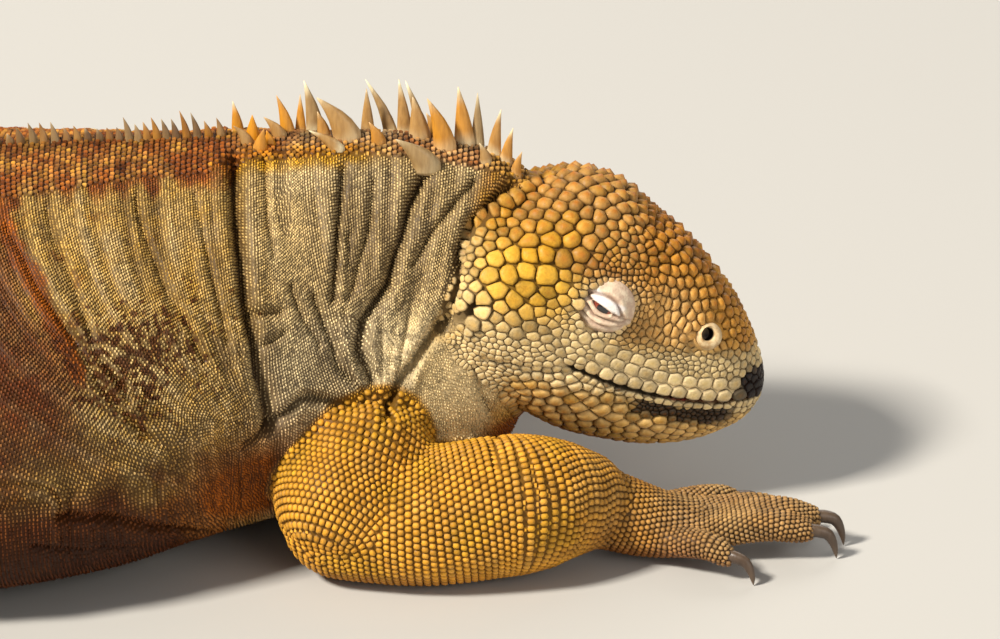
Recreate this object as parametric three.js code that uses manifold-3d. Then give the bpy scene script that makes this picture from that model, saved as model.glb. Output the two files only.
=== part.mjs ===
// Land iguana lying at rest, life size, in millimetres: +X towards the snout, +Y to its left, +Z up.
// It lies on its belly on the ground plane z = 0, with the origin under the middle of the belly.
import * as THREE from "three";
import { mergeVertices } from "three/addons/utils/BufferGeometryUtils.js";
import Module from "manifold-3d";

const wasm = await Module();
wasm.setup();

// Driving dimensions
const GAP = 0.3; // between nodes that touch
const GROUND = 0;
const TRUNK_START_X = 186; // where the nape ends over the back of the skull
const NECK_BACK_X = 104;
const TORSO_BACK_X = -232;
const TAIL_CUTS = [640, 815]; // distances along the spine where the tail is parted
const SPINE_LENGTH = 1006;
const SPINE_STEP = 2;

const HEAD_PITCH = THREE.MathUtils.degToRad(20);
const HEAD_ORIGIN = new THREE.Vector3(170, 0, 85);
const HEAD_BACK = -17;
const SNOUT_TIP = 100.5;
const EYE = { x: 37, y: 23.6, z: 9, radius: 8.2, lid: 10.6 };
const NOSTRIL = { x: 73, y: 16.6, z: 6.2, radius: 5.6, hole: 2.3, stands: 3 };
const MOUTH = { corner: 35, z: -14.6, gap: 1.3, depth: 3.2, open: 1.6 };
const EAR = { x: -7, z: -7, length: 15, width: 8, depth: 4 };

// Raised plates of the head, in rows that run forward along it, each row at an angle from the top.
const PLATE = { sides: 6, sunk: 2, raised: 1.7, taper: 0.6 };
const PLATE_ROWS = [
  { angle: 16, from: 16, pitch: 9.5, count: 2, half: 3.6 }, // crown
  { angle: 40, from: 13, pitch: 9.5, count: 2, half: 3.8 },
  { angle: 66, from: 7, pitch: 9.5, count: 2, half: 4.3 }, // temple
  { angle: 87, from: 3, pitch: 9.5, count: 2, half: 4.3 }, // cheek
  { angle: 106, from: 8, pitch: 9.5, count: 2, half: 4.3 },
  { angle: 121, from: 19, pitch: 9.5, count: 2, half: 4.1 }, // jowl
  { angle: 134, from: 27, pitch: 9.5, count: 5, half: 3.8 }, // lower jaw
];

const SEED = 11;

// Body stations: x along the body, ridge and belly heights, half width, the height of the widest point,
// and how square the back (above it) and the belly (below it) are; 2 is an ellipse.
const TRUNK = [
  { x: 186, top: 114, bottom: 62, half: 9, wide: 88, back: 1.6, belly: 2 },
  { x: 181, top: 118.5, bottom: 30, half: 25, wide: 62, back: 1.6, belly: 2.1 },
  { x: 172, top: 124, bottom: 19, half: 35, wide: 54, back: 1.6, belly: 2.2 },
  { x: 160, top: 127, bottom: 13, half: 41, wide: 50, back: 1.55, belly: 2.2 },
  { x: 148, top: 129, bottom: 9, half: 44, wide: 50, back: 1.5, belly: 2.1 },
  { x: 130, top: 130, bottom: 5, half: 49, wide: 52, back: 1.45, belly: 2 },
  { x: 110, top: 129.5, bottom: 1, half: 58, wide: 54, back: 1.45, belly: 2 },
  { x: 85, top: 128.5, bottom: -1.5, half: 72, wide: 54, back: 1.47, belly: 2.2 },
  { x: 50, top: 127.5, bottom: -2.5, half: 92, wide: 50, back: 1.5, belly: 2.8 },
  { x: 10, top: 125.5, bottom: -3, half: 105, wide: 48, back: 1.55, belly: 3 },
  { x: -40, top: 122.5, bottom: -3, half: 108, wide: 46, back: 1.6, belly: 3 },
  { x: -90, top: 116, bottom: -3, half: 101, wide: 44, back: 1.65, belly: 2.9 },
  { x: -140, top: 106, bottom: -3, half: 86, wide: 42, back: 1.7, belly: 2.8 },
  { x: -185, top: 95, bottom: -3, half: 66, wide: 40, back: 1.75, belly: 2.5 },
  { x: -225, top: 83, bottom: -2.5, half: 48, wide: 38, back: 1.8, belly: 2.3 },
  { x: -262, top: 71, bottom: -2, half: 36, wide: 34, back: 1.95, belly: 2.1 },
  { x: -300, top: 61, bottom: -1.5, half: 29.5, wide: 30, back: 2, belly: 2 },
  { x: -360, top: 50, bottom: -1.3, half: 23.5, wide: 24.5, back: 2, belly: 2 },
  { x: -440, top: 38.5, bottom: -1.2, half: 17.5, wide: 19, back: 2, belly: 2 },
  { x: -530, top: 28.5, bottom: -1, half: 12.6, wide: 14, back: 2, belly: 2 },
  { x: -630, top: 20, bottom: -0.8, half: 8.8, wide: 9.8, back: 2, belly: 2 },
  { x: -720, top: 13, bottom: -0.6, half: 5.8, wide: 6.4, back: 2, belly: 2 },
  { x: -790, top: 8, bottom: -0.4, half: 3.4, wide: 3.9, back: 2, belly: 2 },
  { x: -820, top: 4.6, bottom: 0, half: 1.8, wide: 2.3, back: 2, belly: 2 },
];

// Way the spine heads, in degrees to the left of straight back, by distance along it.
const HEADING = [
  { s: 0, turn: 0 },
  { s: 430, turn: 0 },
  { s: 520, turn: 8 },
  { s: 620, turn: 27 },
  { s: 720, turn: 30 },
  { s: 820, turn: 10 },
  { s: 920, turn: -18 },
  { s: 1006, turn: -32 },
];

// Head stations in the head's own frame, whose x runs along the line of the mouth.
const HEAD = [
  { x: -17, top: 14, bottom: -20, half: 19, wide: -3, crown: 2, jaw: 2 },
  { x: -14, top: 19, bottom: -26, half: 30, wide: -3, crown: 2, jaw: 2.1 },
  { x: -8, top: 23.5, bottom: -29.5, half: 37.5, wide: -4, crown: 2, jaw: 2.2 },
  { x: 2, top: 27.5, bottom: -31.5, half: 40.5, wide: -6, crown: 2, jaw: 2.4 },
  { x: 12, top: 34.8, bottom: -35, half: 39.5, wide: -7, crown: 2, jaw: 2.5 },
  { x: 21, top: 38.8, bottom: -39, half: 37, wide: -8, crown: 2.1, jaw: 2.6 },
  { x: 31, top: 38.9, bottom: -42.5, half: 34.5, wide: -8, crown: 2.3, jaw: 2.6 },
  { x: 39, top: 36.4, bottom: -44.3, half: 32, wide: -8, crown: 2.4, jaw: 2.6 },
  { x: 47, top: 33, bottom: -44.8, half: 29.5, wide: -9, crown: 2.4, jaw: 2.6 },
  { x: 56, top: 30.4, bottom: -44.4, half: 26.5, wide: -10, crown: 2.3, jaw: 2.5 },
  { x: 65, top: 25.4, bottom: -43, half: 23.8, wide: -11, crown: 2.2, jaw: 2.5 },
  { x: 73, top: 20.2, bottom: -41, half: 21, wide: -12, crown: 2.2, jaw: 2.4 },
  { x: 81.5, top: 13.8, bottom: -37.8, half: 17.6, wide: -12.5, crown: 2.2, jaw: 2.3 },
  { x: 88, top: 7.4, bottom: -34, half: 14.4, wide: -13, crown: 2.1, jaw: 2.2 },
  { x: 93.5, top: 0.8, bottom: -29.6, half: 11, wide: -13.2, crown: 2, jaw: 2 },
  { x: 97.8, top: -5.4, bottom: -24.4, half: 7.4, wide: -13.4, crown: 2, jaw: 2 },
  { x: 100.5, top: -12.2, bottom: -14.8, half: 0.8, wide: -13.5, crown: 2, jaw: 2 },
];

// Limbs as they lie: the place of each joint, then the half width and half height there. heading is the way
// that the hand or foot points, in degrees to the left of straight ahead.
const RIGHT_FORELEG = {
  upper: [
    { at: [136, -32, 46], half: 17, tall: 17 },
    { at: [131, -46, 38], half: 23, tall: 21 },
    { at: [125, -57, 28], half: 23, tall: 23 },
  ],
  lower: [
    { at: [125, -56, 21], half: 21, tall: 21.5 },
    { at: [150, -58, 21.5], half: 22.5, tall: 23 },
    { at: [178, -55, 24], half: 22.5, tall: 23.5 },
    { at: [192, -48, 22], half: 20.5, tall: 21 },
    { at: [199, -44, 20], half: 17.5, tall: 17.5 },
  ],
  wrist: [207, -40, 15.5],
  heading: 0,
};
const LEFT_FORELEG = {
  upper: [
    { at: [148, 33, 50], half: 18, tall: 20 },
    { at: [128, 52, 40], half: 22, tall: 21 },
    { at: [100, 82, 24], half: 21, tall: 20 },
  ],
  lower: [
    { at: [99, 84, 19], half: 21, tall: 20 },
    { at: [122, 96, 19], half: 21, tall: 20 },
    { at: [146, 107, 17], half: 18.5, tall: 17 },
    { at: [162, 114, 13], half: 13.5, tall: 12 },
  ],
  wrist: [161, 114, 12],
  heading: -14,
};
const RIGHT_HIND_LEG = {
  upper: [
    { at: [-208, -30, 46], half: 26, tall: 28 },
    { at: [-186, -64, 42], half: 27, tall: 26 },
    { at: [-156, -104, 28], half: 23, tall: 21 },
  ],
  lower: [
    { at: [-156, -106, 19.5], half: 20, tall: 20 },
    { at: [-184, -123, 17.5], half: 20, tall: 18.5 },
    { at: [-214, -139, 14], half: 14.5, tall: 13 },
    { at: [-226, -146, 11], half: 12, tall: 10 },
  ],
  wrist: [-224, -146, 10],
  heading: -36,
};
const LEFT_HIND_LEG = {
  upper: [
    { at: [-208, 30, 46], half: 26, tall: 28 },
    { at: [-182, 62, 42], half: 27, tall: 26 },
    { at: [-146, 98, 28], half: 23, tall: 21 },
  ],
  lower: [
    { at: [-145, 100, 19.5], half: 20, tall: 20 },
    { at: [-172, 120, 17.5], half: 20, tall: 18.5 },
    { at: [-201, 138, 14], half: 14.5, tall: 13 },
    { at: [-212, 145, 11], half: 12, tall: 10 },
  ],
  wrist: [-210, 144, 10],
  heading: 26,
};

// Digits, thumb side first: where each leaves the sole (along it, and across it towards the body's middle),
// how far it turns in, its length, its half thickness and how far its end is held off the ground.
const HAND = {
  length: 31,
  half: 15,
  tall: 10.5,
  digits: [
    { name: "first", along: 0.62, across: 0.72, turn: 27, length: 29, half: 4.9, lift: 2 },
    { name: "second", along: 0.88, across: 0.45, turn: 9, length: 34, half: 5.2, lift: 3 },
    { name: "third", along: 0.98, across: 0.04, turn: 3, length: 40, half: 5.6, lift: 5 },
    { name: "fourth", along: 0.92, across: -0.4, turn: 0, length: 39, half: 5.4, lift: 4.5 },
    { name: "fifth", along: 0.62, across: -0.74, turn: -25, length: 24, half: 5, lift: 3.5 },
  ],
};
const FOOT = {
  length: 40,
  half: 14,
  tall: 9,
  digits: [
    { name: "first", along: 0.55, across: 0.72, turn: 30, length: 26, half: 4.4, lift: 2 },
    { name: "second", along: 0.86, across: 0.5, turn: 15, length: 36, half: 4.8, lift: 3 },
    { name: "third", along: 0.97, across: 0.12, turn: 2, length: 47, half: 5, lift: 3.5 },
    { name: "fourth", along: 1, across: -0.32, turn: -12, length: 58, half: 5, lift: 3.5 },
    { name: "fifth", along: 0.42, across: -0.75, turn: -44, length: 36, half: 4.5, lift: 2.5 },
  ],
};
const CLAW = { length: 12, half: 2.3 };
const SPINE_SIDES = 4;
const SPINE_ROWS = 2;

// Crest: spines along the ridge, tall over the nape and low on the back and tail.
const CREST = [
  { s: 8, tall: 6, pitch: 4.6 },
  { s: 24, tall: 15, pitch: 5.6 },
  { s: 40, tall: 19, pitch: 6.2 },
  { s: 62, tall: 18, pitch: 6.8 },
  { s: 86, tall: 12, pitch: 8 },
  { s: 120, tall: 9.5, pitch: 10 },
  { s: 250, tall: 8, pitch: 13 },
  { s: 440, tall: 7, pitch: 14 },
  { s: 640, tall: 5, pitch: 15 },
  { s: 800, tall: 3, pitch: 16 },
];

// Smooth value of a table's column, with no overshoot between its rows.
function column(table, key, name, at) {
  const rows = table[0][key] < table[table.length - 1][key] ? table : [...table].reverse();
  const last = rows.length - 1;
  if (at <= rows[0][key]) return rows[0][name];
  if (at >= rows[last][key]) return rows[last][name];
  let i = 0;
  while (rows[i + 1][key] < at) i++;
  const slope = (k) => {
    const before = (rows[k][name] - rows[k - 1]?.[name]) / (rows[k][key] - rows[k - 1]?.[key]);
    const after = (rows[k + 1]?.[name] - rows[k][name]) / (rows[k + 1]?.[key] - rows[k][key]);
    if (Number.isNaN(before)) return after;
    if (Number.isNaN(after)) return before;
    return before * after <= 0 ? 0 : (2 * before * after) / (before + after);
  };
  const span = rows[i + 1][key] - rows[i][key];
  const t = (at - rows[i][key]) / span;
  const [p, q] = [rows[i][name], rows[i + 1][name]];
  const [m, n] = [slope(i) * span, slope(i + 1) * span];
  return p + t * (m + t * (3 * (q - p) - 2 * m - n + t * (2 * (p - q) + m + n)));
}

function randomSource(seed) {
  let state = seed;
  return () => {
    state = (state * 1664525 + 1013904223) % 4294967296;
    return state / 4294967296;
  };
}

// The spine's line on the ground plane, by distance from the nape.
const spineLine = [];
{
  const at = new THREE.Vector2(TRUNK_START_X, 0);
  for (let s = 0; s <= SPINE_LENGTH + SPINE_STEP; s += SPINE_STEP) {
    const turn = THREE.MathUtils.degToRad(column(HEADING, "s", "turn", s));
    spineLine.push({ x: at.x, y: at.y, turn });
    at.x -= Math.cos(turn) * SPINE_STEP;
    at.y += Math.sin(turn) * SPINE_STEP;
  }
}

function spineAt(s) {
  const place = THREE.MathUtils.clamp(s / SPINE_STEP, 0, spineLine.length - 1.001);
  const i = Math.floor(place);
  const [a, b] = [spineLine[i], spineLine[i + 1]];
  const mix = (key) => THREE.MathUtils.lerp(a[key], b[key], place - i);
  return { x: mix("x"), y: mix("y"), turn: mix("turn") };
}

// Point of an egg-shaped section: angle 0 is the top, positive towards the animal's left.
function sectionPoint(angle, { top, bottom, half, wide, upper, lower }, grow = 0) {
  const [s, c] = [Math.sin(angle), Math.cos(angle)];
  const power = 2 / (c >= 0 ? upper : lower);
  const height = (c >= 0 ? top - wide : wide - bottom) + grow;
  return {
    side: (half + grow) * Math.sign(s) * Math.abs(s) ** power,
    up: wide + height * Math.sign(c) * Math.abs(c) ** power,
  };
}

// Skin folds that ring the neck and shoulder: how far the section draws in at s and angle.
const FOLDS = [
  { s: 20, width: 4, depth: 3 },
  { s: 38, width: 4, depth: 2.6 },
  { s: 57, width: 5, depth: 3.2 },
  { s: 92, width: 5, depth: 3 },
];
function foldDepth(s, angle) {
  const flank = Math.max(0, Math.sin(Math.abs(angle))) ** 0.7;
  return FOLDS.reduce((sum, f) => sum + f.depth * flank * Math.exp(-(((s - f.s) / f.width) ** 2)), 0);
}

function trunkPoint(s, angle, grow) {
  const x = TRUNK_START_X - s;
  const value = (name) => column(TRUNK, "x", name, x);
  const section = { top: value("top"), bottom: value("bottom"), half: value("half"), wide: value("wide") };
  section.upper = value("back");
  section.lower = value("belly");
  const point = sectionPoint(angle, section, grow - foldDepth(s, angle));
  const line = spineAt(s);
  return new THREE.Vector3(
    line.x + Math.sin(line.turn) * point.side,
    line.y + Math.cos(line.turn) * point.side,
    point.up,
  );
}

function headPoint(x, angle, grow) {
  const value = (name) => column(HEAD, "x", name, x);
  const section = { top: value("top"), bottom: value("bottom"), half: value("half"), wide: value("wide") };
  section.upper = value("crown");
  section.lower = value("jaw");
  const point = sectionPoint(angle, section, grow);
  return new THREE.Vector3(x, point.side, point.up);
}

// A low plate on the head's side, its faces sloping in to a flat top.
function headPlate(x, angle, half, side) {
  const away = THREE.MathUtils.degToRad(angle) * side;
  const at = headPoint(x, away, 0);
  const alongHead = headPoint(x + 1, away, 0).sub(headPoint(x - 1, away, 0));
  const roundHead = headPoint(x, away + 0.05, 0).sub(headPoint(x, away - 0.05, 0));
  const out = new THREE.Vector3().crossVectors(roundHead, alongHead).normalize();
  if (out.dot(at) < 0) out.negate();
  const up = new THREE.Vector3(0, 1, 0);
  return new THREE.CylinderGeometry(half * PLATE.taper, half, PLATE.sunk + PLATE.raised, PLATE.sides)
    .translate(0, (PLATE.raised - PLATE.sunk) / 2, 0)
    .applyQuaternion(new THREE.Quaternion().setFromUnitVectors(up, out))
    .translate(at.x, at.y, at.z);
}

// A closed cylinder bent into shape: place(share, angle) gives the point of its wall, share running 0 to 1.
function shapedTube(around, along, place) {
  const geometry = new THREE.CylinderGeometry(1, 1, 1, around, along);
  const position = geometry.getAttribute("position");
  for (let i = 0; i < position.count; i++) {
    const [x, y, z] = [position.getX(i), position.getY(i), position.getZ(i)];
    const share = Math.round((0.5 - y) * along) / along;
    const angle = Math.atan2(x, z);
    const reach = Math.hypot(x, z) > 0.5;
    const point = reach ? place(share, angle) : place(share, 0).lerp(place(share, Math.PI), 0.5);
    position.setXYZ(i, point.x, point.y, point.z);
  }
  return geometry;
}

// A round-ended limb through its joints: each has a place, a half width and a half height.
function limb(joints, around, along, grow = 0) {
  const curve = new THREE.CatmullRomCurve3(joints.map((j) => new THREE.Vector3(...j.at)));
  const length = curve.getLength();
  const [first, last] = [joints[0], joints[joints.length - 1]];
  const [capIn, capOut] = [first, last].map((j) => Math.min(j.half, j.tall) + grow);
  const whole = length + capIn + capOut;
  const geometry = new THREE.SphereGeometry(1, around, along);
  const position = geometry.getAttribute("position");
  const up = new THREE.Vector3(0, 0, 1);
  for (let i = 0; i < position.count; i++) {
    const [x, y, z] = [position.getX(i), position.getY(i), position.getZ(i)];
    const share = Math.acos(THREE.MathUtils.clamp(y, -1, 1)) / Math.PI;
    const reach = endWeighted(share) * whole;
    const t = THREE.MathUtils.clamp((reach - capIn) / length, 0, 1);
    const inCap = reach < capIn ? 1 - reach / capIn : Math.max(0, (reach - whole + capOut) / capOut);
    const round = Math.sqrt(Math.max(0, 1 - inCap * inCap));
    const along3 = curve.getTangentAt(t);
    const overrun = reach - capIn - t * length;
    const place = curve.getPointAt(t).addScaledVector(along3, overrun);
    const side = new THREE.Vector3().crossVectors(up, along3).normalize();
    const rise = new THREE.Vector3().crossVectors(along3, side);
    const k = curve.getUtoTmapping(t) * (joints.length - 1);
    const j = Math.min(Math.floor(k), joints.length - 2);
    const width = THREE.MathUtils.lerp(joints[j].half, joints[j + 1].half, k - j) + grow;
    const height = THREE.MathUtils.lerp(joints[j].tall, joints[j + 1].tall, k - j) + grow;
    const angle = Math.atan2(x, z);
    place.addScaledVector(side, Math.sin(angle) * width * round);
    place.addScaledVector(rise, Math.cos(angle) * height * round);
    position.setXYZ(i, place.x, place.y, place.z);
  }
  return geometry;
}

// Spreads rings evenly along a limb but sets them closer at its round ends.
function endWeighted(share) {
  const eased = (1 - Math.cos(share * Math.PI)) / 2;
  return THREE.MathUtils.lerp(share, eased, 0.6);
}

// The closed solid of a geometry, its faces turned out.
function solid(geometry) {
  const bare = geometry.clone();
  bare.deleteAttribute("normal");
  bare.deleteAttribute("uv");
  const merged = mergeVertices(bare, 1e-3);
  const build = (triVerts) =>
    new wasm.Manifold(
      new wasm.Mesh({ numProp: 3, vertProperties: merged.attributes.position.array, triVerts }),
    );
  const made = build(new Uint32Array(merged.index.array));
  if (made.volume() > 0) return made;
  const turned = new Uint32Array(merged.index.array);
  for (let i = 0; i < turned.length; i += 3) [turned[i], turned[i + 1]] = [turned[i + 1], turned[i]];
  return build(turned);
}

function largest(made) {
  return made.decompose().reduce((best, piece) => (piece.volume() > best.volume() ? piece : best));
}

function together(pieces) {
  return wasm.Manifold.union(pieces);
}

function block(low, high) {
  const size = new THREE.Vector3().subVectors(high, low);
  const centre = new THREE.Vector3().addVectors(low, high).multiplyScalar(0.5);
  return solid(new THREE.BoxGeometry(size.x, size.y, size.z).translate(centre.x, centre.y, centre.z));
}

const underground = block(new THREE.Vector3(-1200, -500, -60), new THREE.Vector3(500, 500, GROUND));
const onGround = (made) => made.subtract(underground);

function trunk(from, to, along, around, grow = 0) {
  const [start, end] = [from - grow, to + grow];
  return shapedTube(around, along, (share, angle) =>
    trunkPoint(start + (end - start) * share, angle, grow),
  );
}

const headFrame = new THREE.Matrix4().makeRotationY(HEAD_PITCH).setPosition(HEAD_ORIGIN);

function headShell(grow, around = 28, along = 20) {
  return shapedTube(around, along, (share, angle) => {
    const eased = Math.sin((share * Math.PI) / 2);
    const reach = SNOUT_TIP - HEAD_BACK + 2 * grow;
    const x = HEAD_BACK - grow + reach * THREE.MathUtils.lerp(share, eased, 0.45);
    const point = headPoint(THREE.MathUtils.clamp(x, HEAD_BACK, SNOUT_TIP), angle, grow);
    return point.setX(x);
  });
}

// A crest spine: a curved cone whose root is sunk in the ridge.
function spine(s, tall, lean, sweep) {
  const root = trunkPoint(s, 0, -3);
  const line = spineAt(s);
  const back = new THREE.Vector3(-Math.cos(line.turn), Math.sin(line.turn), 0);
  const left = new THREE.Vector3(Math.sin(line.turn), Math.cos(line.turn), 0);
  const half = 1.1 + tall * 0.12;
  return shapedTube(SPINE_SIDES, SPINE_ROWS, (share, angle) => {
    const height = share * (tall + 3);
    const taper = half * (1 - share * 0.93) * (share > 0.2 ? 1 : 1.1);
    const place = root.clone().setZ(root.z + height * Math.cos(lean));
    place.addScaledVector(left, height * Math.sin(lean) + Math.sin(angle) * taper * 0.8);
    place.addScaledVector(back, sweep * share * share * tall + Math.cos(angle) * taper);
    return place;
  });
}

function crest(from, to) {
  const random = randomSource(SEED);
  const spines = [];
  for (let s = CREST[0].s; s < CREST[CREST.length - 1].s; s += column(CREST, "s", "pitch", s)) {
    const tall = column(CREST, "s", "tall", s) * (0.8 + 0.35 * random());
    const lean = (random() - 0.5) * (tall > 8 ? 0.5 : 0.2);
    const sweep = 0.1 + 0.3 * random();
    const clear = 1.4 + tall * 0.13;
    if (s - clear > from && s + clear < to) spines.push(solid(spine(s, tall, lean, sweep)));
  }
  return spines;
}

// A claw leaves the digit's end and hooks down to the ground.
function clawJoints(end, ahead) {
  const at = (out, drop) => end.clone().addScaledVector(ahead, out).setZ(end.z * (1 - drop)).toArray();
  const { length, half } = CLAW;
  return [
    { at: at(-1, -0.05), half, tall: half },
    { at: at(length * 0.4, 0.06), half: half * 0.85, tall: half },
    { at: at(length * 0.6, 0.5), half: half * 0.5, tall: half * 0.6 },
    { at: at(length * 0.66, 0.98), half: 0.45, tall: 0.5 },
  ];
}

// A hand or foot flat on the ground, with its digits and claws.
function paw(leg, plan, side) {
  const heading = THREE.MathUtils.degToRad(leg.heading);
  const ahead = new THREE.Vector3(Math.cos(heading), Math.sin(heading), 0);
  const inward = new THREE.Vector3(Math.sin(heading) * side, -Math.cos(heading) * side, 0);
  const wrist = new THREE.Vector3(...leg.wrist);
  const soleHeight = plan.tall - 1;
  const sole = (along, across, z) =>
    wrist.clone().addScaledVector(ahead, along).addScaledVector(inward, across).setZ(z);
  const palm = limb(
    [
      { at: wrist.toArray(), half: plan.half * 0.85, tall: plan.tall * 1.25 },
      { at: sole(plan.length * 0.5, 0, soleHeight + 1).toArray(), half: plan.half, tall: plan.tall },
      { at: sole(plan.length * 0.85, 0, soleHeight - 1).toArray(), half: plan.half, tall: plan.tall * 0.75 },
    ],
    10,
    6,
  );
  const pieces = [solid(palm)];
  for (const digit of plan.digits) {
    const turn = THREE.MathUtils.degToRad(digit.turn);
    const way = ahead.clone().multiplyScalar(Math.cos(turn)).addScaledVector(inward, Math.sin(turn));
    const root = sole(plan.length * digit.along, plan.half * digit.across, soleHeight);
    const reach = (share, z) => root.clone().addScaledVector(way, digit.length * share).setZ(z);
    const held = digit.half + digit.lift;
    const joints = [
      { at: reach(-0.25, soleHeight).toArray(), half: digit.half, tall: digit.half * 0.9 },
      { at: reach(0.2, soleHeight + 0.6).toArray(), half: digit.half, tall: digit.half },
      { at: reach(0.65, held + 2.4).toArray(), half: digit.half * 0.95, tall: digit.half },
      { at: reach(0.93, held).toArray(), half: digit.half * 0.75, tall: digit.half * 0.8 },
    ];
    pieces.push(solid(limb(joints, 6, 5)));
    pieces.push(solid(limb(clawJoints(reach(1, held), way), 4, 3)));
  }
  return together(pieces);
}

function eyeBall(radius, side) {
  return new THREE.SphereGeometry(radius, 12, 8).translate(EYE.x, side * EYE.y, EYE.z);
}

// Swollen lids round the eye, with a slanting slit between them.
function lidSlit(side) {
  return new THREE.SphereGeometry(1, 10, 6)
    .scale(7.4, 8, 2.3)
    .rotateY(THREE.MathUtils.degToRad(14))
    .translate(EYE.x, side * (EYE.y + EYE.lid - 1), EYE.z - 0.3);
}

function nostrilCone(radiusIn, radiusOut, from, to, side) {
  return new THREE.CylinderGeometry(radiusOut, radiusIn, to - from, 10)
    .translate(0, (from + to) / 2, 0)
    .rotateX(side > 0 ? 0 : Math.PI)
    .rotateX(side * 0.5)
    .rotateZ(-side * 0.25)
    .translate(NOSTRIL.x, side * NOSTRIL.y, NOSTRIL.z);
}

// The line of the mouth: a thin slot under the lips that opens a little towards the snout.
function mouthSlot() {
  const slab = new THREE.BoxGeometry(SNOUT_TIP + 8 - MOUTH.corner, 90, 1, 6, 1, 1);
  slab.translate((SNOUT_TIP + 8 + MOUTH.corner) / 2, 0, 0);
  const position = slab.getAttribute("position");
  for (let i = 0; i < position.count; i++) {
    const share = (position.getX(i) - MOUTH.corner) / (SNOUT_TIP - MOUTH.corner);
    const half = (MOUTH.gap * Math.min(1, share * 4 + 0.3) + MOUTH.open * Math.max(0, share - 0.55)) / 2;
    const sag = -1.6 * Math.sin(Math.min(1, share) * Math.PI);
    position.setZ(i, MOUTH.z + sag + Math.sign(position.getZ(i)) * half);
  }
  return solid(slab).subtract(solid(headShell(-MOUTH.depth, 20, 14)));
}

function makeHead() {
  const plates = [];
  for (const { angle, from, pitch, count, half } of PLATE_ROWS) {
    for (let i = 0; i < count; i++) {
      for (const side of [-1, 1]) plates.push(solid(headPlate(from + i * pitch, angle, half, side)));
    }
  }
  let head = together([solid(headShell(0)), ...plates]);
  for (const side of [-1, 1]) {
    const ear = new THREE.SphereGeometry(1, 8, 6)
      .scale(EAR.width / 2, EAR.depth, EAR.length / 2)
      .rotateY(0.5)
      .translate(EAR.x, side * (38.6 + 1), EAR.z);
    head = head.add(solid(eyeBall(EYE.lid, side)));
    head = head.add(solid(nostrilCone(NOSTRIL.radius, NOSTRIL.radius * 0.8, -4, NOSTRIL.stands, side)));
    head = head.subtract(solid(nostrilCone(NOSTRIL.hole, NOSTRIL.hole, -2, NOSTRIL.stands + 3, side)));
    head = head.subtract(solid(eyeBall(EYE.radius + GAP, side)));
    head = head.subtract(solid(lidSlit(side)));
    head = head.subtract(solid(ear));
  }
  return largest(head.subtract(mouthSlot()));
}

const colour = (hex, roughness = 0.7) =>
  new THREE.MeshStandardMaterial({ color: hex, roughness, metalness: 0 });
const FINISH = {
  head: colour(0xc79a3a, 0.6),
  neck: colour(0xb39a63, 0.75),
  torso: colour(0x9a6a3a, 0.75),
  tail: colour(0x8a5a34, 0.75),
  limb: colour(0xc98a24, 0.65),
  eye: colour(0x3a1c10, 0.15),
};

// A node's mesh: its geometry is moved so that the mesh's own origin is the joint it hangs from.
function node(name, made, origin, material) {
  const { numProp, vertProperties, triVerts } = made.getMesh();
  const geometry = new THREE.BufferGeometry();
  const position = new THREE.BufferAttribute(new Float32Array(vertProperties), numProp);
  geometry.setAttribute("position", position);
  geometry.setIndex(new THREE.BufferAttribute(new Uint32Array(triVerts), 1));
  geometry.translate(-origin.x, -origin.y, -origin.z);
  geometry.computeVertexNormals();
  const mesh = new THREE.Mesh(geometry, material);
  mesh.name = name;
  mesh.position.copy(origin);
  return mesh;
}

const iguana = new THREE.Group();

// Head and eyes share the head's pitched frame
const headGroup = new THREE.Group();
headGroup.position.copy(HEAD_ORIGIN);
headGroup.rotation.y = HEAD_PITCH;
iguana.add(headGroup);
headGroup.add(node("head", makeHead(), new THREE.Vector3(), FINISH.head));
for (const [name, side] of [
  ["eye_right", -1],
  ["eye_left", 1],
]) {
  const centre = new THREE.Vector3(EYE.x, side * EYE.y, EYE.z);
  headGroup.add(node(name, solid(eyeBall(EYE.radius, side)), centre, FINISH.eye));
}

// Neck, torso and tail are lengths of one body, parted by thin gaps
const sNeck = TRUNK_START_X - NECK_BACK_X;
const sTorso = TRUNK_START_X - TORSO_BACK_X;
const [tailCutA, tailCutB] = TAIL_CUTS;
const headRoom = solid(headShell(GAP).applyMatrix4(headFrame));
const rooms = [headRoom];
const trunkParts = [
  { name: "neck", from: 0, to: sNeck, along: 14, around: 28, finish: FINISH.neck },
  { name: "torso", from: sNeck + GAP, to: sTorso, along: 20, around: 28, finish: FINISH.torso },
  { name: "tail_base", from: sTorso + GAP, to: tailCutA, along: 12, around: 18, finish: FINISH.tail },
  { name: "tail_middle", from: tailCutA + GAP, to: tailCutB, along: 9, around: 14, finish: FINISH.tail },
  { name: "tail_tip", from: tailCutB + GAP, to: SPINE_LENGTH, along: 10, around: 10, finish: FINISH.tail },
];
for (const { name, from, to, along, around, finish } of trunkParts) {
  const bare = solid(trunk(from, to, along, around));
  const whole = together([bare, ...crest(from, to)]);
  const cut = name === "neck" ? whole.subtract(headRoom) : whole;
  if (to < tailCutB) rooms.push(solid(trunk(from, to, along, around, GAP)));
  const start = spineAt(from);
  iguana.add(node(name, largest(onGround(cut)), new THREE.Vector3(start.x, start.y, 0), finish));
}

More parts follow.
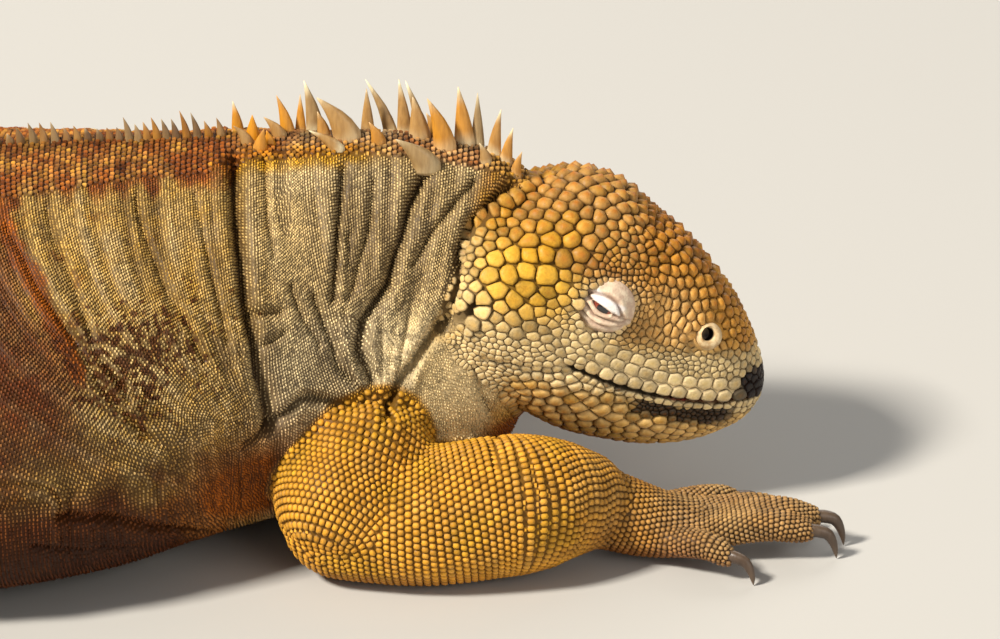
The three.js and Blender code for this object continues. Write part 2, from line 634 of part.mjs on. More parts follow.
// Legs: the lower leg is whole, the upper leg is cut clear of it and of the body, the paw of the lower leg
const bodyRoom = together(rooms);
const legs = [
  { leg: RIGHT_FORELEG, names: ["upper_arm_right", "forearm_right", "hand_right"], plan: HAND, side: -1 },
  { leg: LEFT_FORELEG, names: ["upper_arm_left", "forearm_left", "hand_left"], plan: HAND, side: 1 },
  { leg: RIGHT_HIND_LEG, names: ["thigh_right", "shank_right", "foot_right"], plan: FOOT, side: -1 },
  { leg: LEFT_HIND_LEG, names: ["thigh_left", "shank_left", "foot_left"], plan: FOOT, side: 1 },
];
for (const { leg, names, plan, side } of legs) {
  const upper = solid(limb(leg.upper, 14, 8)).subtract(bodyRoom);
  const lower = solid(limb(leg.lower, 14, 9)).subtract(bodyRoom);
  const lowerRoom = solid(limb(leg.lower, 14, 9, GAP));
  const parts = [upper.subtract(lowerRoom), lower, paw(leg, plan, side).subtract(lowerRoom)];
  const origins = [leg.upper[0].at, leg.lower[0].at, leg.wrist];
  parts.forEach((part, i) => {
    const origin = new THREE.Vector3(...origins[i]);
    iguana.add(node(names[i], largest(onGround(part)), origin, FINISH.limb));
  });
}

export default iguana;
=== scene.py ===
# %% [markdown]
# # A land iguana at rest, life size
# The CAD frame gives the solids of a land iguana that lies flat on its belly. This lesson gives it looks: one
# skin with folds, thousands of solid scales, horny spines and claws, wet eyes and the light of a studio.
# Sizes are written in millimetres, because an iguana is measured in them, and turned to metres where they are
# used.

# %% Load the frame
import math

import bmesh
import bpy
import numpy as np
from mathutils import Matrix, Vector
from mathutils.bvhtree import BVHTree
from mathutils.kdtree import KDTree


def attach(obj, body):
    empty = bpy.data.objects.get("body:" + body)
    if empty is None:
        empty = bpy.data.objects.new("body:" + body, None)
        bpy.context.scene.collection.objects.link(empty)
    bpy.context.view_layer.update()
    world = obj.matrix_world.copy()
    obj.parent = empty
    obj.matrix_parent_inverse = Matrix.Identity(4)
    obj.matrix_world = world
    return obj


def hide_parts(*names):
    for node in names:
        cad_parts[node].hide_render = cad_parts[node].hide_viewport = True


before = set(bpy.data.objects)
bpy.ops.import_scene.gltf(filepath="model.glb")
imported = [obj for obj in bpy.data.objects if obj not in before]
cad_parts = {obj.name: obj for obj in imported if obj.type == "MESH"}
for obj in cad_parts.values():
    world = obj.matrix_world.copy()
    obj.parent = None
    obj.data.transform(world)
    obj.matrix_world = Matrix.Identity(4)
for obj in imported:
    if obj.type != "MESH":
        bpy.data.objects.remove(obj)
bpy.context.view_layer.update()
MM = 0.001

# %% [markdown]
# ## Camera, floor and light
# The animal is seen from its right side, from 25 degrees above the ground and from 1.9 m away through a long
# lens, so the picture is nearly flat. A wide-angle lens close by would show the same parts, but it would
# swell the head. The floor is a plain pale sheet. One large lamp from the upper left models the scales,
# because small relief only shows where light grazes it, and two weak ones keep the shadows open.

# %% Camera
AIM = Vector((174.5, 0, 63.2)) * MM
CAMERA_DISTANCE = 1.9
CAMERA_RISE = math.radians(25)

lens = bpy.data.cameras.new("camera")
lens.sensor_width = 36
lens.lens = 212.04
camera = bpy.data.objects.new("camera", lens)
back = Vector((0, -math.cos(CAMERA_RISE), math.sin(CAMERA_RISE)))
camera.location = AIM + back * CAMERA_DISTANCE
camera.rotation_euler = (-back).to_track_quat("-Z", "Y").to_euler()
bpy.context.collection.objects.link(camera)
bpy.context.scene.camera = camera
print("camera at", tuple(round(c, 3) for c in camera.location))

# %% Floor
def mesh_object(name, bm):
    """A bmesh as a new object at the origin, its faces smooth."""
    mesh = bpy.data.meshes.new(name)
    bm.to_mesh(mesh)
    bm.free()
    mesh.shade_smooth()
    made = bpy.data.objects.new(name, mesh)
    bpy.context.collection.objects.link(made)
    return made


def new_material(name, roughness=0.5, specular=0.5):
    """A new material, its node tree and its shader."""
    made = bpy.data.materials.new(name)
    made.use_nodes = True
    shader = made.node_tree.nodes["Principled BSDF"]
    shader.inputs["Roughness"].default_value = roughness
    shader.inputs["Specular IOR Level"].default_value = specular
    return made, made.node_tree, shader


FLOOR_HALF = 6
bm = bmesh.new()
bmesh.ops.create_grid(bm, x_segments=1, y_segments=1, size=FLOOR_HALF)
floor = mesh_object("floor", bm)
paper, _, shader = new_material("floor_paper", roughness=0.9)
shader.inputs["Base Color"].default_value = (0.54, 0.52, 0.48, 1)
floor.data.materials.append(paper)

# %% Lamps
def lamp(name, place, aim, size, power, colour):
    """A soft square lamp that looks at a point."""
    light = bpy.data.lights.new(name, "AREA")
    light.size, light.energy, light.color = size, power, colour
    made = bpy.data.objects.new(name, light)
    made.location = place
    made.rotation_euler = (Vector(aim) - Vector(place)).to_track_quat("-Z", "Y").to_euler()
    bpy.context.collection.objects.link(made)


MIDDLE = (0, 0, 0.05)
lamp("key", (-3.5, -2.3, 4.2), MIDDLE, 0.9, 570, (1, 0.95, 0.87))
lamp("fill", (3.9, -4.5, 2.4), MIDDLE, 4, 100, (1, 0.97, 0.93))
lamp("rim", (1.5, 4.2, 3.3), MIDDLE, 3.6, 100, (1, 0.98, 0.95))
world = bpy.data.worlds.new("studio")
world.use_nodes = True
world.node_tree.nodes["Background"].inputs["Color"].default_value = (0.85, 0.88, 0.92, 1)
world.node_tree.nodes["Background"].inputs["Strength"].default_value = 0.26
bpy.context.scene.world = world
bpy.context.scene.view_settings.view_transform = "Standard"

# %% [markdown]
# ## The sizes of the body
# A museum modeller measures the animal at stations along its length and builds the form through them. The
# same stations that made the solids are repeated here: ridge and belly heights, half width, the height of the
# widest point and how square the back and belly are, 2 being an ellipse. A skin drawn through them lands
# inside the solids.

# %% Stations along the trunk and tail
def table(rows, bare=0):
    """Rows of millimetres as metres, in rising order; the last `bare` columns are plain numbers."""
    made = np.array(rows, float)
    made[:, : made.shape[1] - bare] *= MM
    return made[np.argsort(made[:, 0])]


def column(rows, k, at):
    """Smooth value of a table's column k, with no overshoot between its rows."""
    x, y = rows[:, 0], rows[:, k]
    step = np.diff(y) / np.diff(x)
    a, b = step[:-1], step[1:]
    inner = np.where(a * b <= 0, 0, 2 * a * b / np.where(a + b == 0, 1, a + b))
    slope = np.concatenate([step[:1], inner, step[-1:]])
    at = np.clip(at, x[0], x[-1])
    i = np.clip(np.searchsorted(x, at) - 1, 0, len(x) - 2)
    span = x[i + 1] - x[i]
    t, m, n = (at - x[i]) / span, slope[i] * span, slope[i + 1] * span
    p, q = y[i], y[i + 1]
    return p + t * (m + t * (3 * (q - p) - 2 * m - n + t * (2 * (p - q) + m + n)))


# x, ridge, belly, half width, height of the widest point, then how square back and belly are
TRUNK = table([
    (186, 114, 62, 9, 88, 1.6, 2), (181, 118.5, 30, 25, 62, 1.6, 2.1), (172, 124, 19, 35, 54, 1.6, 2.2),
    (160, 127, 13, 41, 50, 1.55, 2.2), (148, 129, 9, 44, 50, 1.5, 2.1), (130, 130, 5, 49, 52, 1.45, 2),
    (110, 129.5, 1, 58, 54, 1.45, 2), (85, 128.5, -1.5, 72, 54, 1.47, 2.2),
    (50, 127.5, -2.5, 92, 50, 1.5, 2.8),
    (10, 125.5, -3, 105, 48, 1.55, 3), (-40, 122.5, -3, 108, 46, 1.6, 3), (-90, 116, -3, 101, 44, 1.65, 2.9),
    (-140, 106, -3, 86, 42, 1.7, 2.8), (-185, 95, -3, 66, 40, 1.75, 2.5), (-225, 83, -2.5, 48, 38, 1.8, 2.3),
    (-262, 71, -2, 36, 34, 1.95, 2.1), (-300, 61, -1.5, 29.5, 30, 2, 2), (-360, 50, -1.3, 23.5, 24.5, 2, 2),
    (-440, 38.5, -1.2, 17.5, 19, 2, 2), (-530, 28.5, -1, 12.6, 14, 2, 2), (-630, 20, -0.8, 8.8, 9.8, 2, 2),
    (-720, 13, -0.6, 5.8, 6.4, 2, 2), (-790, 8, -0.4, 3.4, 3.9, 2, 2), (-820, 4.6, 0, 1.8, 2.3, 2, 2),
], bare=2)
TRUNK_START_X = 186 * MM
SPINE_LENGTH = 1006 * MM
# distance along the spine, way it heads in degrees to the left of straight back
HEADING = table([
    (0, 0), (430, 0), (520, 8), (620, 27), (720, 30), (820, 10), (920, -18), (1006, -32),
], bare=1)

SPINE_STEP = 2 * MM
spine_s = np.arange(0, SPINE_LENGTH + 2 * SPINE_STEP, SPINE_STEP)
spine_turn = np.radians(column(HEADING, 1, spine_s))
spine_x = TRUNK_START_X - np.concatenate([[0], np.cumsum(np.cos(spine_turn[:-1]))]) * SPINE_STEP
spine_y = np.concatenate([[0], np.cumsum(np.sin(spine_turn[:-1]))]) * SPINE_STEP
print(f"spine {SPINE_LENGTH:.3f} m, tail ends at x {spine_x[-1]:.3f}, y {spine_y[-1]:.3f}")

# %% Points on the trunk and head
HEAD_PITCH = math.radians(20)
HEAD_ORIGIN = np.array([170, 0, 85]) * MM
HEAD_BACK, SNOUT_TIP = -17 * MM, 100.5 * MM
# In the head's own frame, whose x runs along the mouth: x, top, bottom, half width, widest height, crown, jaw
HEAD = table([
    (-17, 14, -20, 19, -3, 2, 2), (-14, 19, -26, 30, -3, 2, 2.1), (-8, 23.5, -29.5, 37.5, -4, 2, 2.2),
    (2, 27.5, -31.5, 40.5, -6, 2, 2.4), (12, 34.8, -35, 39.5, -7, 2, 2.5), (21, 38.8, -39, 37, -8, 2.1, 2.6),
    (31, 38.9, -42.5, 34.5, -8, 2.3, 2.6), (39, 36.4, -44.3, 32, -8, 2.4, 2.6),
    (47, 33, -44.8, 29.5, -9, 2.4, 2.6),
    (56, 30.4, -44.4, 26.5, -10, 2.3, 2.5), (65, 25.4, -43, 23.8, -11, 2.2, 2.5),
    (73, 20.2, -41, 21, -12, 2.2, 2.4),
    (81.5, 13.8, -37.8, 17.6, -12.5, 2.2, 2.3), (88, 7.4, -34, 14.4, -13, 2.1, 2.2),
    (93.5, 0.8, -29.6, 11, -13.2, 2, 2),
    (97.8, -5.4, -24.4, 7.4, -13.4, 2, 2), (100.5, -12.2, -14.8, 0.8, -13.5, 2, 2),
], bare=2)


def section(rows, x, angle, grow):
    """Sideways and upward place on an egg-shaped section: angle 0 is the top, positive to its left."""
    top, bottom, half, wide = (column(rows, k, x) for k in (1, 2, 3, 4))
    s, c = np.sin(angle), np.cos(angle)
    power = 2 / np.where(c >= 0, column(rows, 5, x), column(rows, 6, x))
    height = np.where(c >= 0, top - wide, wide - bottom) + grow
    side = (half + grow) * np.sign(s) * np.abs(s) ** power
    return side, wide + height * np.sign(c) * np.abs(c) ** power


def trunk_point(s, angle, grow=0):
    """Place on the trunk at a distance along the spine and an angle round it."""
    side, up = section(TRUNK, TRUNK_START_X - s, angle, grow)
    turn = np.interp(s, spine_s, spine_turn)
    x, y = np.interp(s, spine_s, spine_x), np.interp(s, spine_s, spine_y)
    return np.stack([x + np.sin(turn) * side, y + np.cos(turn) * side, up], -1)


def from_head(local):
    """Points of the head's frame in the model's."""
    c, s = math.cos(HEAD_PITCH), math.sin(HEAD_PITCH)
    x, y, z = np.moveaxis(np.asarray(local, float), -1, 0)
    return np.stack([x * c + z * s, y, -x * s + z * c], -1) + HEAD_ORIGIN


def to_head(points):
    """Points of the model in the head's frame."""
    c, s = math.cos(HEAD_PITCH), math.sin(HEAD_PITCH)
    x, y, z = np.moveaxis(np.asarray(points, float) - HEAD_ORIGIN, -1, 0)
    return np.stack([x * c - z * s, y, x * s + z * c], -1)


def head_point(x, angle, grow=0):
    """Place on the head at x along its own frame and an angle round it."""
    side, up = section(HEAD, x, angle, grow)
    return from_head(np.stack([x, side, up], -1))


# %% [markdown]
# ## Limbs
# Each length of limb is a round-ended form through its joints. A joint has a place, a half width and a half
# height, and a sphere stretched along the joints makes the form, so that its ends are closed and round like
# flesh.

# %% Joints of the limbs
# Each joint: x, y, z, half width, half height
LEGS = {
    "foreleg_right": {
        "upper": [(136, -32, 46, 17, 17), (131, -46, 38, 23, 21), (125, -57, 28, 23, 23)],
        "lower": [(125, -56, 21, 21, 21.5), (150, -58, 21.5, 22.5, 23), (178, -55, 24, 22.5, 23.5),
                  (192, -48, 22, 20.5, 21), (199, -44, 20, 17.5, 17.5)],
        "wrist": (207, -40, 15.5), "heading": 0, "plan": "hand", "side": -1,
    },
    "foreleg_left": {
        "upper": [(148, 33, 50, 18, 20), (128, 52, 40, 22, 21), (100, 82, 24, 21, 20)],
        "lower": [(99, 84, 19, 21, 20), (122, 96, 19, 21, 20), (146, 107, 17, 18.5, 17),
                  (162, 114, 13, 13.5, 12)],
        "wrist": (161, 114, 12), "heading": -14, "plan": "hand", "side": 1,
    },
    "hind_leg_right": {
        "upper": [(-208, -30, 46, 26, 28), (-186, -64, 42, 27, 26), (-156, -104, 28, 23, 21)],
        "lower": [(-156, -106, 19.5, 20, 20), (-184, -123, 17.5, 20, 18.5), (-214, -139, 14, 14.5, 13),
                  (-226, -146, 11, 12, 10)],
        "wrist": (-224, -146, 10), "heading": -36, "plan": "foot", "side": -1,
    },
    "hind_leg_left": {
        "upper": [(-208, 30, 46, 26, 28), (-182, 62, 42, 27, 26), (-146, 98, 28, 23, 21)],
        "lower": [(-145, 100, 19.5, 20, 20), (-172, 120, 17.5, 20, 18.5), (-201, 138, 14, 14.5, 13),
                  (-212, 145, 11, 12, 10)],
        "wrist": (-210, 144, 10), "heading": 26, "plan": "foot", "side": 1,
    },
}
# Each digit: where it leaves the sole along it and across it, its turn inward, length, half thickness and
# lift
PAWS = {
    "hand": {"length": 31, "half": 15, "tall": 10.5, "digits": [
        (0.62, 0.72, 27, 29, 4.9, 2), (0.88, 0.45, 9, 34, 5.2, 3), (0.98, 0.04, 3, 40, 5.6, 5),
        (0.92, -0.4, 0, 39, 5.4, 4.5), (0.62, -0.74, -25, 24, 5, 3.5)]},
    "foot": {"length": 40, "half": 14, "tall": 9, "digits": [
        (0.55, 0.72, 30, 26, 4.4, 2), (0.86, 0.5, 15, 36, 4.8, 3), (0.97, 0.12, 2, 47, 5, 3.5),
        (1, -0.32, -12, 58, 5, 3.5), (0.42, -0.75, -44, 36, 4.5, 2.5)]},
}


def paw_limbs(leg):
    """Joints of the palm and of each digit of a leg, and where each claw starts and heads."""
    plan, side = PAWS[leg["plan"]], leg["side"]
    heading = math.radians(leg["heading"])
    ahead = np.array([math.cos(heading), math.sin(heading), 0])
    inward = np.array([math.sin(heading), -math.cos(heading), 0]) * side
    wrist, sole_z = np.array(leg["wrist"], float), plan["tall"] - 1

    def sole(along, across, z):
        at = wrist + ahead * along + inward * across
        return (at[0], at[1], z)

    half, tall, length = plan["half"], plan["tall"], plan["length"]
    limbs = [[(*wrist, half * 0.85, tall * 1.25), (*sole(length * 0.5, 0, sole_z + 1), half, tall),
              (*sole(length * 0.85, 0, sole_z - 1), half, tall * 0.75)]]
    claws = []
    for along, across, turn, reach, thick, lift in plan["digits"]:
        a = math.radians(turn)
        way = ahead * math.cos(a) + inward * math.sin(a)
        root = np.array(sole(length * along, half * across, sole_z))
        held = thick + lift
        steps = ((-0.25, sole_z, 1, 0.9), (0.2, sole_z + 0.6, 1, 1), (0.65, held + 2.4, 0.95, 1),
                 (0.93, held, 0.75, 0.8))
        limbs.append([((root + way * reach * k)[0], (root + way * reach * k)[1], z, thick * w, thick * t)
                      for k, z, w, t in steps])
        claws.append((np.array([*(root + way * reach)[:2], held]) * MM, way))
    return limbs, claws


# %% Points on a limb
class Limb:
    """A round-ended form through joints, all in metres."""

    def __init__(self, joints, grow=0):
        at = np.array(joints, float) * MM
        chord = np.linalg.norm(np.diff(at[:, :3], axis=0), axis=1)
        self.rows = np.column_stack([np.concatenate([[0], np.cumsum(chord)]), at])
        self.length, self.grow = self.rows[-1, 0], grow
        self.caps = at[0, 3:].min() + grow, at[-1, 3:].min() + grow
        self.whole = self.length + sum(self.caps)

    def point(self, reach, angle, lift=0):
        """Place at a distance from the near end and an angle round the limb, 0 being its top."""
        cap_in, cap_out = self.caps
        u = np.clip(reach - cap_in, 0, self.length)
        over = reach - cap_in - u
        in_cap = np.where(over < 0, -over / cap_in, over / cap_out)
        around = np.sqrt(np.clip(1 - in_cap**2, 0, 1))
        place = lambda v: np.stack([column(self.rows, k, v) for k in (1, 2, 3)], -1)
        way = place(np.clip(u + 1e-4, 0, self.length)) - place(np.clip(u - 1e-4, 0, self.length))
        way /= np.linalg.norm(way, axis=-1, keepdims=True)
        side = np.cross((0, 0, 1), way)
        side /= np.linalg.norm(side, axis=-1, keepdims=True)
        rise = np.cross(way, side)
        half, tall = ((column(self.rows, k, u) + self.grow) * around + lift for k in (4, 5))
        return (place(u) + way * over[..., None] + side * (np.sin(angle) * half)[..., None]
                + rise * (np.cos(angle) * tall)[..., None])


# %% [markdown]
# ## One skin
# The real skin runs over the whole body without a seam. Here closed forms of the trunk, head and limbs are
# made from operator shapes whose vertices are moved to the stations, then a voxel remesh melts them into one
# surface, as a sculptor presses clay pieces together. A Boolean union would leave sharp joins at the
# shoulders, so it isn't used. The forms stay a little inside the solids, because the scales still stand on
# them.

# %% Closed forms for the flesh
SKIN_DEPTH = 0.9 * MM


def moved(bm, place):
    """Sets every vertex of a bmesh by a function of all their places."""
    at = np.array([v.co[:] for v in bm.verts])
    for v, p in zip(bm.verts, place(at)):
        v.co = p
    bmesh.ops.recalc_face_normals(bm, faces=bm.faces)
    return bm


def cylinder(around, along):
    """A closed cylinder of radius 1, from -0.5 to 0.5 along z, cut into rings."""
    bm = bmesh.new()
    bmesh.ops.create_cone(bm, cap_ends=True, cap_tris=True, segments=around, radius1=1, radius2=1, depth=1)
    uprights = [e for e in bm.edges if abs(e.verts[0].co.z - e.verts[1].co.z) > 0.5]
    bmesh.ops.subdivide_edges(bm, edges=uprights, cuts=along - 1, use_grid_fill=True)
    return bm


def tube(around, along, place):
    """A closed cylinder bent to place(share, angle), with the share running from 0 to 1 along it."""

    def bent(at):
        share, angle = 0.5 - at[:, 2], np.arctan2(at[:, 0], at[:, 1])
        middle = (place(share, 0 * angle) + place(share, 0 * angle + np.pi)) / 2
        return np.where(np.hypot(at[:, 0], at[:, 1])[:, None] > 0.5, place(share, angle), middle)

    return moved(cylinder(around, along), bent)


# how much closer the rings of a limb stand at its round ends, from 0 to 1
CLOSER_ENDS = 0.6


def round_limb(limb, around=20, along=16):
    """A sphere stretched along a limb's joints."""
    bm = bmesh.new()
    bmesh.ops.create_uvsphere(bm, u_segments=around, v_segments=along, radius=1)

    def bent(at):
        share = np.arccos(np.clip(at[:, 2], -1, 1)) / np.pi
        eased = share + ((1 - np.cos(share * np.pi)) / 2 - share) * CLOSER_ENDS
        return limb.point(eased * limb.whole, np.arctan2(at[:, 0], at[:, 1]))

    return moved(bm, bent)


def head_form(share, angle):
    """Place on the head's flesh at a share of its length, with rings closer together at the snout."""
    x = HEAD_BACK + (SNOUT_TIP - HEAD_BACK) * (share + (np.sin(share * np.pi / 2) - share) * 0.5)
    return head_point(x, angle, -SKIN_DEPTH)


forms = {
    "trunk": tube(72, 300, lambda share, angle: trunk_point(share * SPINE_LENGTH, angle, -SKIN_DEPTH)),
    "head": tube(60, 60, head_form),
}
limb_runs, claw_starts = {}, []
for name, leg in LEGS.items():
    paw, claws = paw_limbs(leg)
    claw_starts += claws
    for part, joints in zip(("upper", "lower", "palm", *(f"digit{i}" for i in range(5))),
                            (leg["upper"], leg["lower"], *paw)):
        grow = -SKIN_DEPTH if part in ("upper", "lower") else -0.2 * MM
        limb_runs[f"{name}_{part}"] = Limb(joints, grow)
        forms[f"{name}_{part}"] = round_limb(limb_runs[f"{name}_{part}"])
print(len(forms), "closed forms")

# %% Eyelid swellings join the forms
EYE = {"x": 37, "y": 23.6, "z": 9, "radius": 8.2, "lid": 10.6}
eye_centres = {side: from_head(np.array([EYE["x"], side * EYE["y"], EYE["z"]]) * MM) for side in (-1, 1)}
for side, centre in eye_centres.items():
    bm = bmesh.new()
    lid_radius = EYE["lid"] * MM - SKIN_DEPTH
    bmesh.ops.create_icosphere(bm, subdivisions=3, radius=lid_radius, matrix=Matrix.Translation(centre))
    forms[f"lid{side}"] = bm

# %% Melt them into one skin
def pour(whole, part):
    """Adds a copy of one bmesh to another."""
    mesh = bpy.data.meshes.new("part")
    part.to_mesh(mesh)
    whole.from_mesh(mesh)
    bpy.data.meshes.remove(mesh)


def joined(parts):
    """One bmesh that holds copies of several."""
    whole = bmesh.new()
    for part in parts:
        pour(whole, part)
    return whole


def settle(piece):
    """Turns what a piece's modifiers make into its own mesh."""
    made = bpy.data.meshes.new_from_object(piece.evaluated_get(bpy.context.evaluated_depsgraph_get()))
    piece.modifiers.clear()
    piece.data = made


VOXEL = 2 * MM
head_tree = BVHTree.FromBMesh(forms["head"])
limb_tree = BVHTree.FromBMesh(joined(forms[name] for name in limb_runs))
skin = mesh_object("skin", joined(forms.values()))
for bm in forms.values():
    bm.free()
remesh = skin.modifiers.new("melt", "REMESH")
remesh.mode, remesh.voxel_size = "VOXEL", VOXEL
smooth = skin.modifiers.new("ease", "SMOOTH")
smooth.factor, smooth.iterations = 0.5, 5
settle(skin)
print("skin after remesh:", len(skin.data.polygons), "faces")

# %% [markdown]
# ## Fine mesh where the skin folds
# Folds of the neck are only 2 to 3 mm wide, so the mesh is cut finer there and round the mouth. An even fine
# mesh would spend most of its faces where nothing happens.

# %% Finer neck and mouth
NOSTRIL = {"x": 73.6, "z": 5.8}
# The line of the mouth in the head's frame: x, z
MOUTH = table([(31, -12.2), (38.5, -13.7), (45, -15), (52, -16.2), (61, -16.9), (70, -17), (79, -16.7),
               (88, -15.8),
               (95, -14.2), (102, -12.6)])
NECK_FROM, NECK_TO = 12 * MM, 176 * MM


def places(mesh):
    """Vertex places of a mesh as an array."""
    flat = np.empty(len(mesh.vertices) * 3)
    mesh.vertices.foreach_get("co", flat)
    return flat.reshape(-1, 3)


def normals(mesh):
    """Vertex normals of a mesh as an array."""
    flat = np.empty(len(mesh.vertices) * 3, np.float32)
    mesh.vertex_normals.foreach_get("vector", flat)
    return flat.reshape(-1, 3).astype(float)


def triangles(mesh):
    """Vertex numbers of a mesh's triangles as an array."""
    mesh.calc_loop_triangles()
    flat = np.empty(len(mesh.loop_triangles) * 3, np.int32)
    mesh.loop_triangles.foreach_get("vertices", flat)
    return flat.reshape(-1, 3)


def float_layer(mesh, name, values):
    """Stores a number for each vertex under a name."""
    layer = mesh.attributes.new(name, "FLOAT", "POINT")
    layer.data.foreach_set("value", np.asarray(values, np.float32).ravel())


def gap_over_mouth(local):
    """How far places of the head, in millimetres, lie above the line of the mouth."""
    return local[..., 2] - column(MOUTH, 1, local[..., 0] * MM) / MM


def soft(value, low, high):
    """0 below low, 1 above high and smooth between; low may be the larger."""
    t = np.clip((value - low) / (high - low), 0, 1)
    return t * t * (3 - 2 * t)


def refine(mesh, wanted, rounds=1):
    """Cuts the faces finer where wanted(centres) holds."""
    bm = bmesh.new()
    bm.from_mesh(mesh)
    for _ in range(rounds):
        centres = np.array([f.calc_center_median()[:] for f in bm.faces])
        chosen = wanted(centres)
        edges = {e for f, ok in zip(bm.faces, chosen) if ok for e in f.edges}
        bmesh.ops.subdivide_edges(bm, edges=list(edges), cuts=1, use_grid_fill=True)
    bmesh.ops.triangulate(bm, faces=[f for f in bm.faces if len(f.verts) > 4])
    bm.to_mesh(mesh)
    bm.free()


# in millimetres: the band of finer faces on each side of the slit, and round the nostril
MOUTH_BAND, NOSTRIL_RING = 4, 7
# half width of the finer faces at the shoulder, and how much less it is on the neck
SHOULDER_WIDE, NECK_NARROWER = 112, 37


def near_mouth(at):
    """Where the mouth and the nostrils need fine faces."""
    local = to_head(at) / MM
    nose = np.hypot(local[:, 0] - NOSTRIL["x"], local[:, 2] - NOSTRIL["z"])
    return ((np.abs(gap_over_mouth(local)) < MOUTH_BAND) & (local[:, 0] > 30)) | (nose < NOSTRIL_RING)


def on_neck(at):
    """Where the folds of the neck and shoulder need fine faces."""
    wide = np.abs(at[:, 1]) < (SHOULDER_WIDE - NECK_NARROWER * soft(at[:, 0] / MM, 60, 90)) * MM
    above_floor = at[:, 2] > 8 * MM
    return (at[:, 0] > NECK_FROM) & (at[:, 0] < NECK_TO) & wide & (to_head(at)[:, 0] < 0) & above_floor


refine(skin.data, on_neck)
refine(skin.data, near_mouth, rounds=2)
print("skin mesh:", len(skin.data.polygons), "faces")

# %% [markdown]
# ## Folds and forms that the skin adds
# The loose skin of the neck hangs in folds that run down from the crest and meet in front of the shoulder,
# and the flank is pleated towards the armpit. A sculptor cuts the deep ones as lines and lets fine ones
# follow the way the skin is pulled. Here a function says how far any place moves along its normal, so that
# the skin and the scales that are set on it later move together. Cloth simulation would fold somewhere else
# on each run of its settings.

# %% Smooth noise and soft steps
# large primes that turn the number of a cell into an even scatter of bits
HASH_PRIMES = np.array([73856093, 19349663, 83492791])


def clouds(at, size, salt=0):
    """Smooth noise from -1 to 1 at places, with lumps of about a size. Each salt gives another noise."""
    at = np.asarray(at, float) / size + 7.3 * salt + 100
    cell = np.floor(at).astype(np.int64)
    t = at - cell
    t = t * t * (3 - 2 * t)
    total = 0
    for corner in np.ndindex(*(2,) * at.shape[-1]):
        key = ((cell + corner) * HASH_PRIMES[: at.shape[-1]]).sum(-1) + salt * 2654435761
        key = (key ^ (key >> 13)) * 1274126177 & 0x7FFFFFFF
        value = ((key ^ (key >> 16)) & 0xFFFF) / 32767.5 - 1
        total = total + value * np.prod(np.where(corner, t, 1 - t), axis=-1)
    return total


def line_distance(at, line):
    """Distance of flat points from a line through corners, all in millimetres."""
    best = np.full(len(at), np.inf)
    for a, b in zip(np.array(line[:-1], float), np.array(line[1:], float)):
        t = np.clip((at - a) @ (b - a) / ((b - a) @ (b - a)), 0, 1)
        best = np.minimum(best, np.linalg.norm(at - a - t[:, None] * (b - a), axis=1))
    return best


def hump(far, width):
    """1 at no distance, falling off smoothly over a width."""
    return np.exp(-((far / width) ** 2))


def bump_at(at, centre, size):
    """1 at a centre, falling off smoothly over a size, which may differ along each axis."""
    return np.exp(-((((at - np.array(centre, float)) / np.array(size, float)) ** 2).sum(-1)))


# %% Creases of the neck and shoulder
# Depth, half width and then x and z along each crease, in millimetres, the same on both flanks
CREASES = [
    (4.6, 1.9, [(90, 124), (91.5, 112), (93, 102), (95, 90), (98, 78.5), (100.6, 64), (101.7, 54)]),
    (3, 1.2, [(124, 121), (123.4, 109), (122.8, 96), (121.6, 88)]),
    (1.6, 0.9, [(126.4, 105), (126.4, 88)]),
    (1.8, 1, [(134, 118), (133, 108), (130, 97), (128, 90)]),
    (4.6, 1.7, [(150, 119), (146, 113), (143, 103), (139, 91), (131, 81), (130, 72), (134, 63)]),
    (2.2, 1, [(116, 90), (120, 79), (124, 69), (131, 60)]),
    (1.7, 0.9, [(109, 94), (113, 84), (118, 76)]),
    (2.2, 1.1, [(166, 117), (158, 110), (150, 101), (147, 96)]),
    (4, 1.5, [(181, 116), (173, 112), (165, 106), (161, 99), (160, 88), (156, 79), (149, 70), (143, 62),
              (139, 55)]),
    (2.4, 1.2, [(96.5, 88), (99, 87.4), (105.5, 86.9)]),
    (1.8, 1.1, [(101, 79), (106, 81)]),
    (3, 1.4, [(94, 50), (103.7, 55.7), (111.7, 61.2), (124, 58), (136.7, 58.6), (145, 54), (152, 48)]),
    (1.5, 0.9, [(100, 124), (101, 112), (103, 102)]),
    (1.4, 0.9, [(78, 117), (84, 98), (90, 82)]),
    (1.6, 0.9, [(60, 118), (66, 105), (75, 92), (82, 78)]),
    (1.5, 0.9, [(32, 116), (42, 100), (48, 88), (60, 72)]),
    (1.6, 1, [(20, 113), (30, 103), (41, 90), (55, 72), (70, 56)]),
    (3, 1.6, [(38, 40), (52, 36), (66, 28), (80, 16)]),
    (1.6, 1.1, [(30, 30), (46, 24), (60, 20)]),
]
# the crease that crosses from the nape on to the head
NAPE_CREASE = 8
# the long pit of the ear, the fold behind the jaw and the crook under it, in the head's frame: x, z
EAR_PIT = [(-9.5, -12.5), (-3.5, -1.5)]
JOWL = [(35, -13.5), (26, -16.5), (17, -16), (6, -17)]
CROOK = [(4, -22), (10, -30), (17, -38)]
# pleats start on the ridge, fall by this much and are drawn to the armpit
PLEAT_TOP_Z, PLEAT_FALL, ARMPIT_Z = 125, 80, 50


def pulled(start, z):
    """x of the pleat that starts on the ridge at `start`, where it has come down to z, all in millimetres."""
    meet = 103 + 34 * soft(start, 95, 115)
    fall = np.clip((PLEAT_TOP_Z - z) / PLEAT_FALL, 0, 1) ** 1.6
    return start + (meet - start) * np.clip(fall * soft(start, -70, 20), 0, 0.72)


def pleat_start(x, z):
    """Where on the ridge the pleat through a place of the flank starts, by eight steps of trial."""
    start = x
    for _ in range(8):
        start = start + 0.8 * (x - pulled(start, z))
    return start


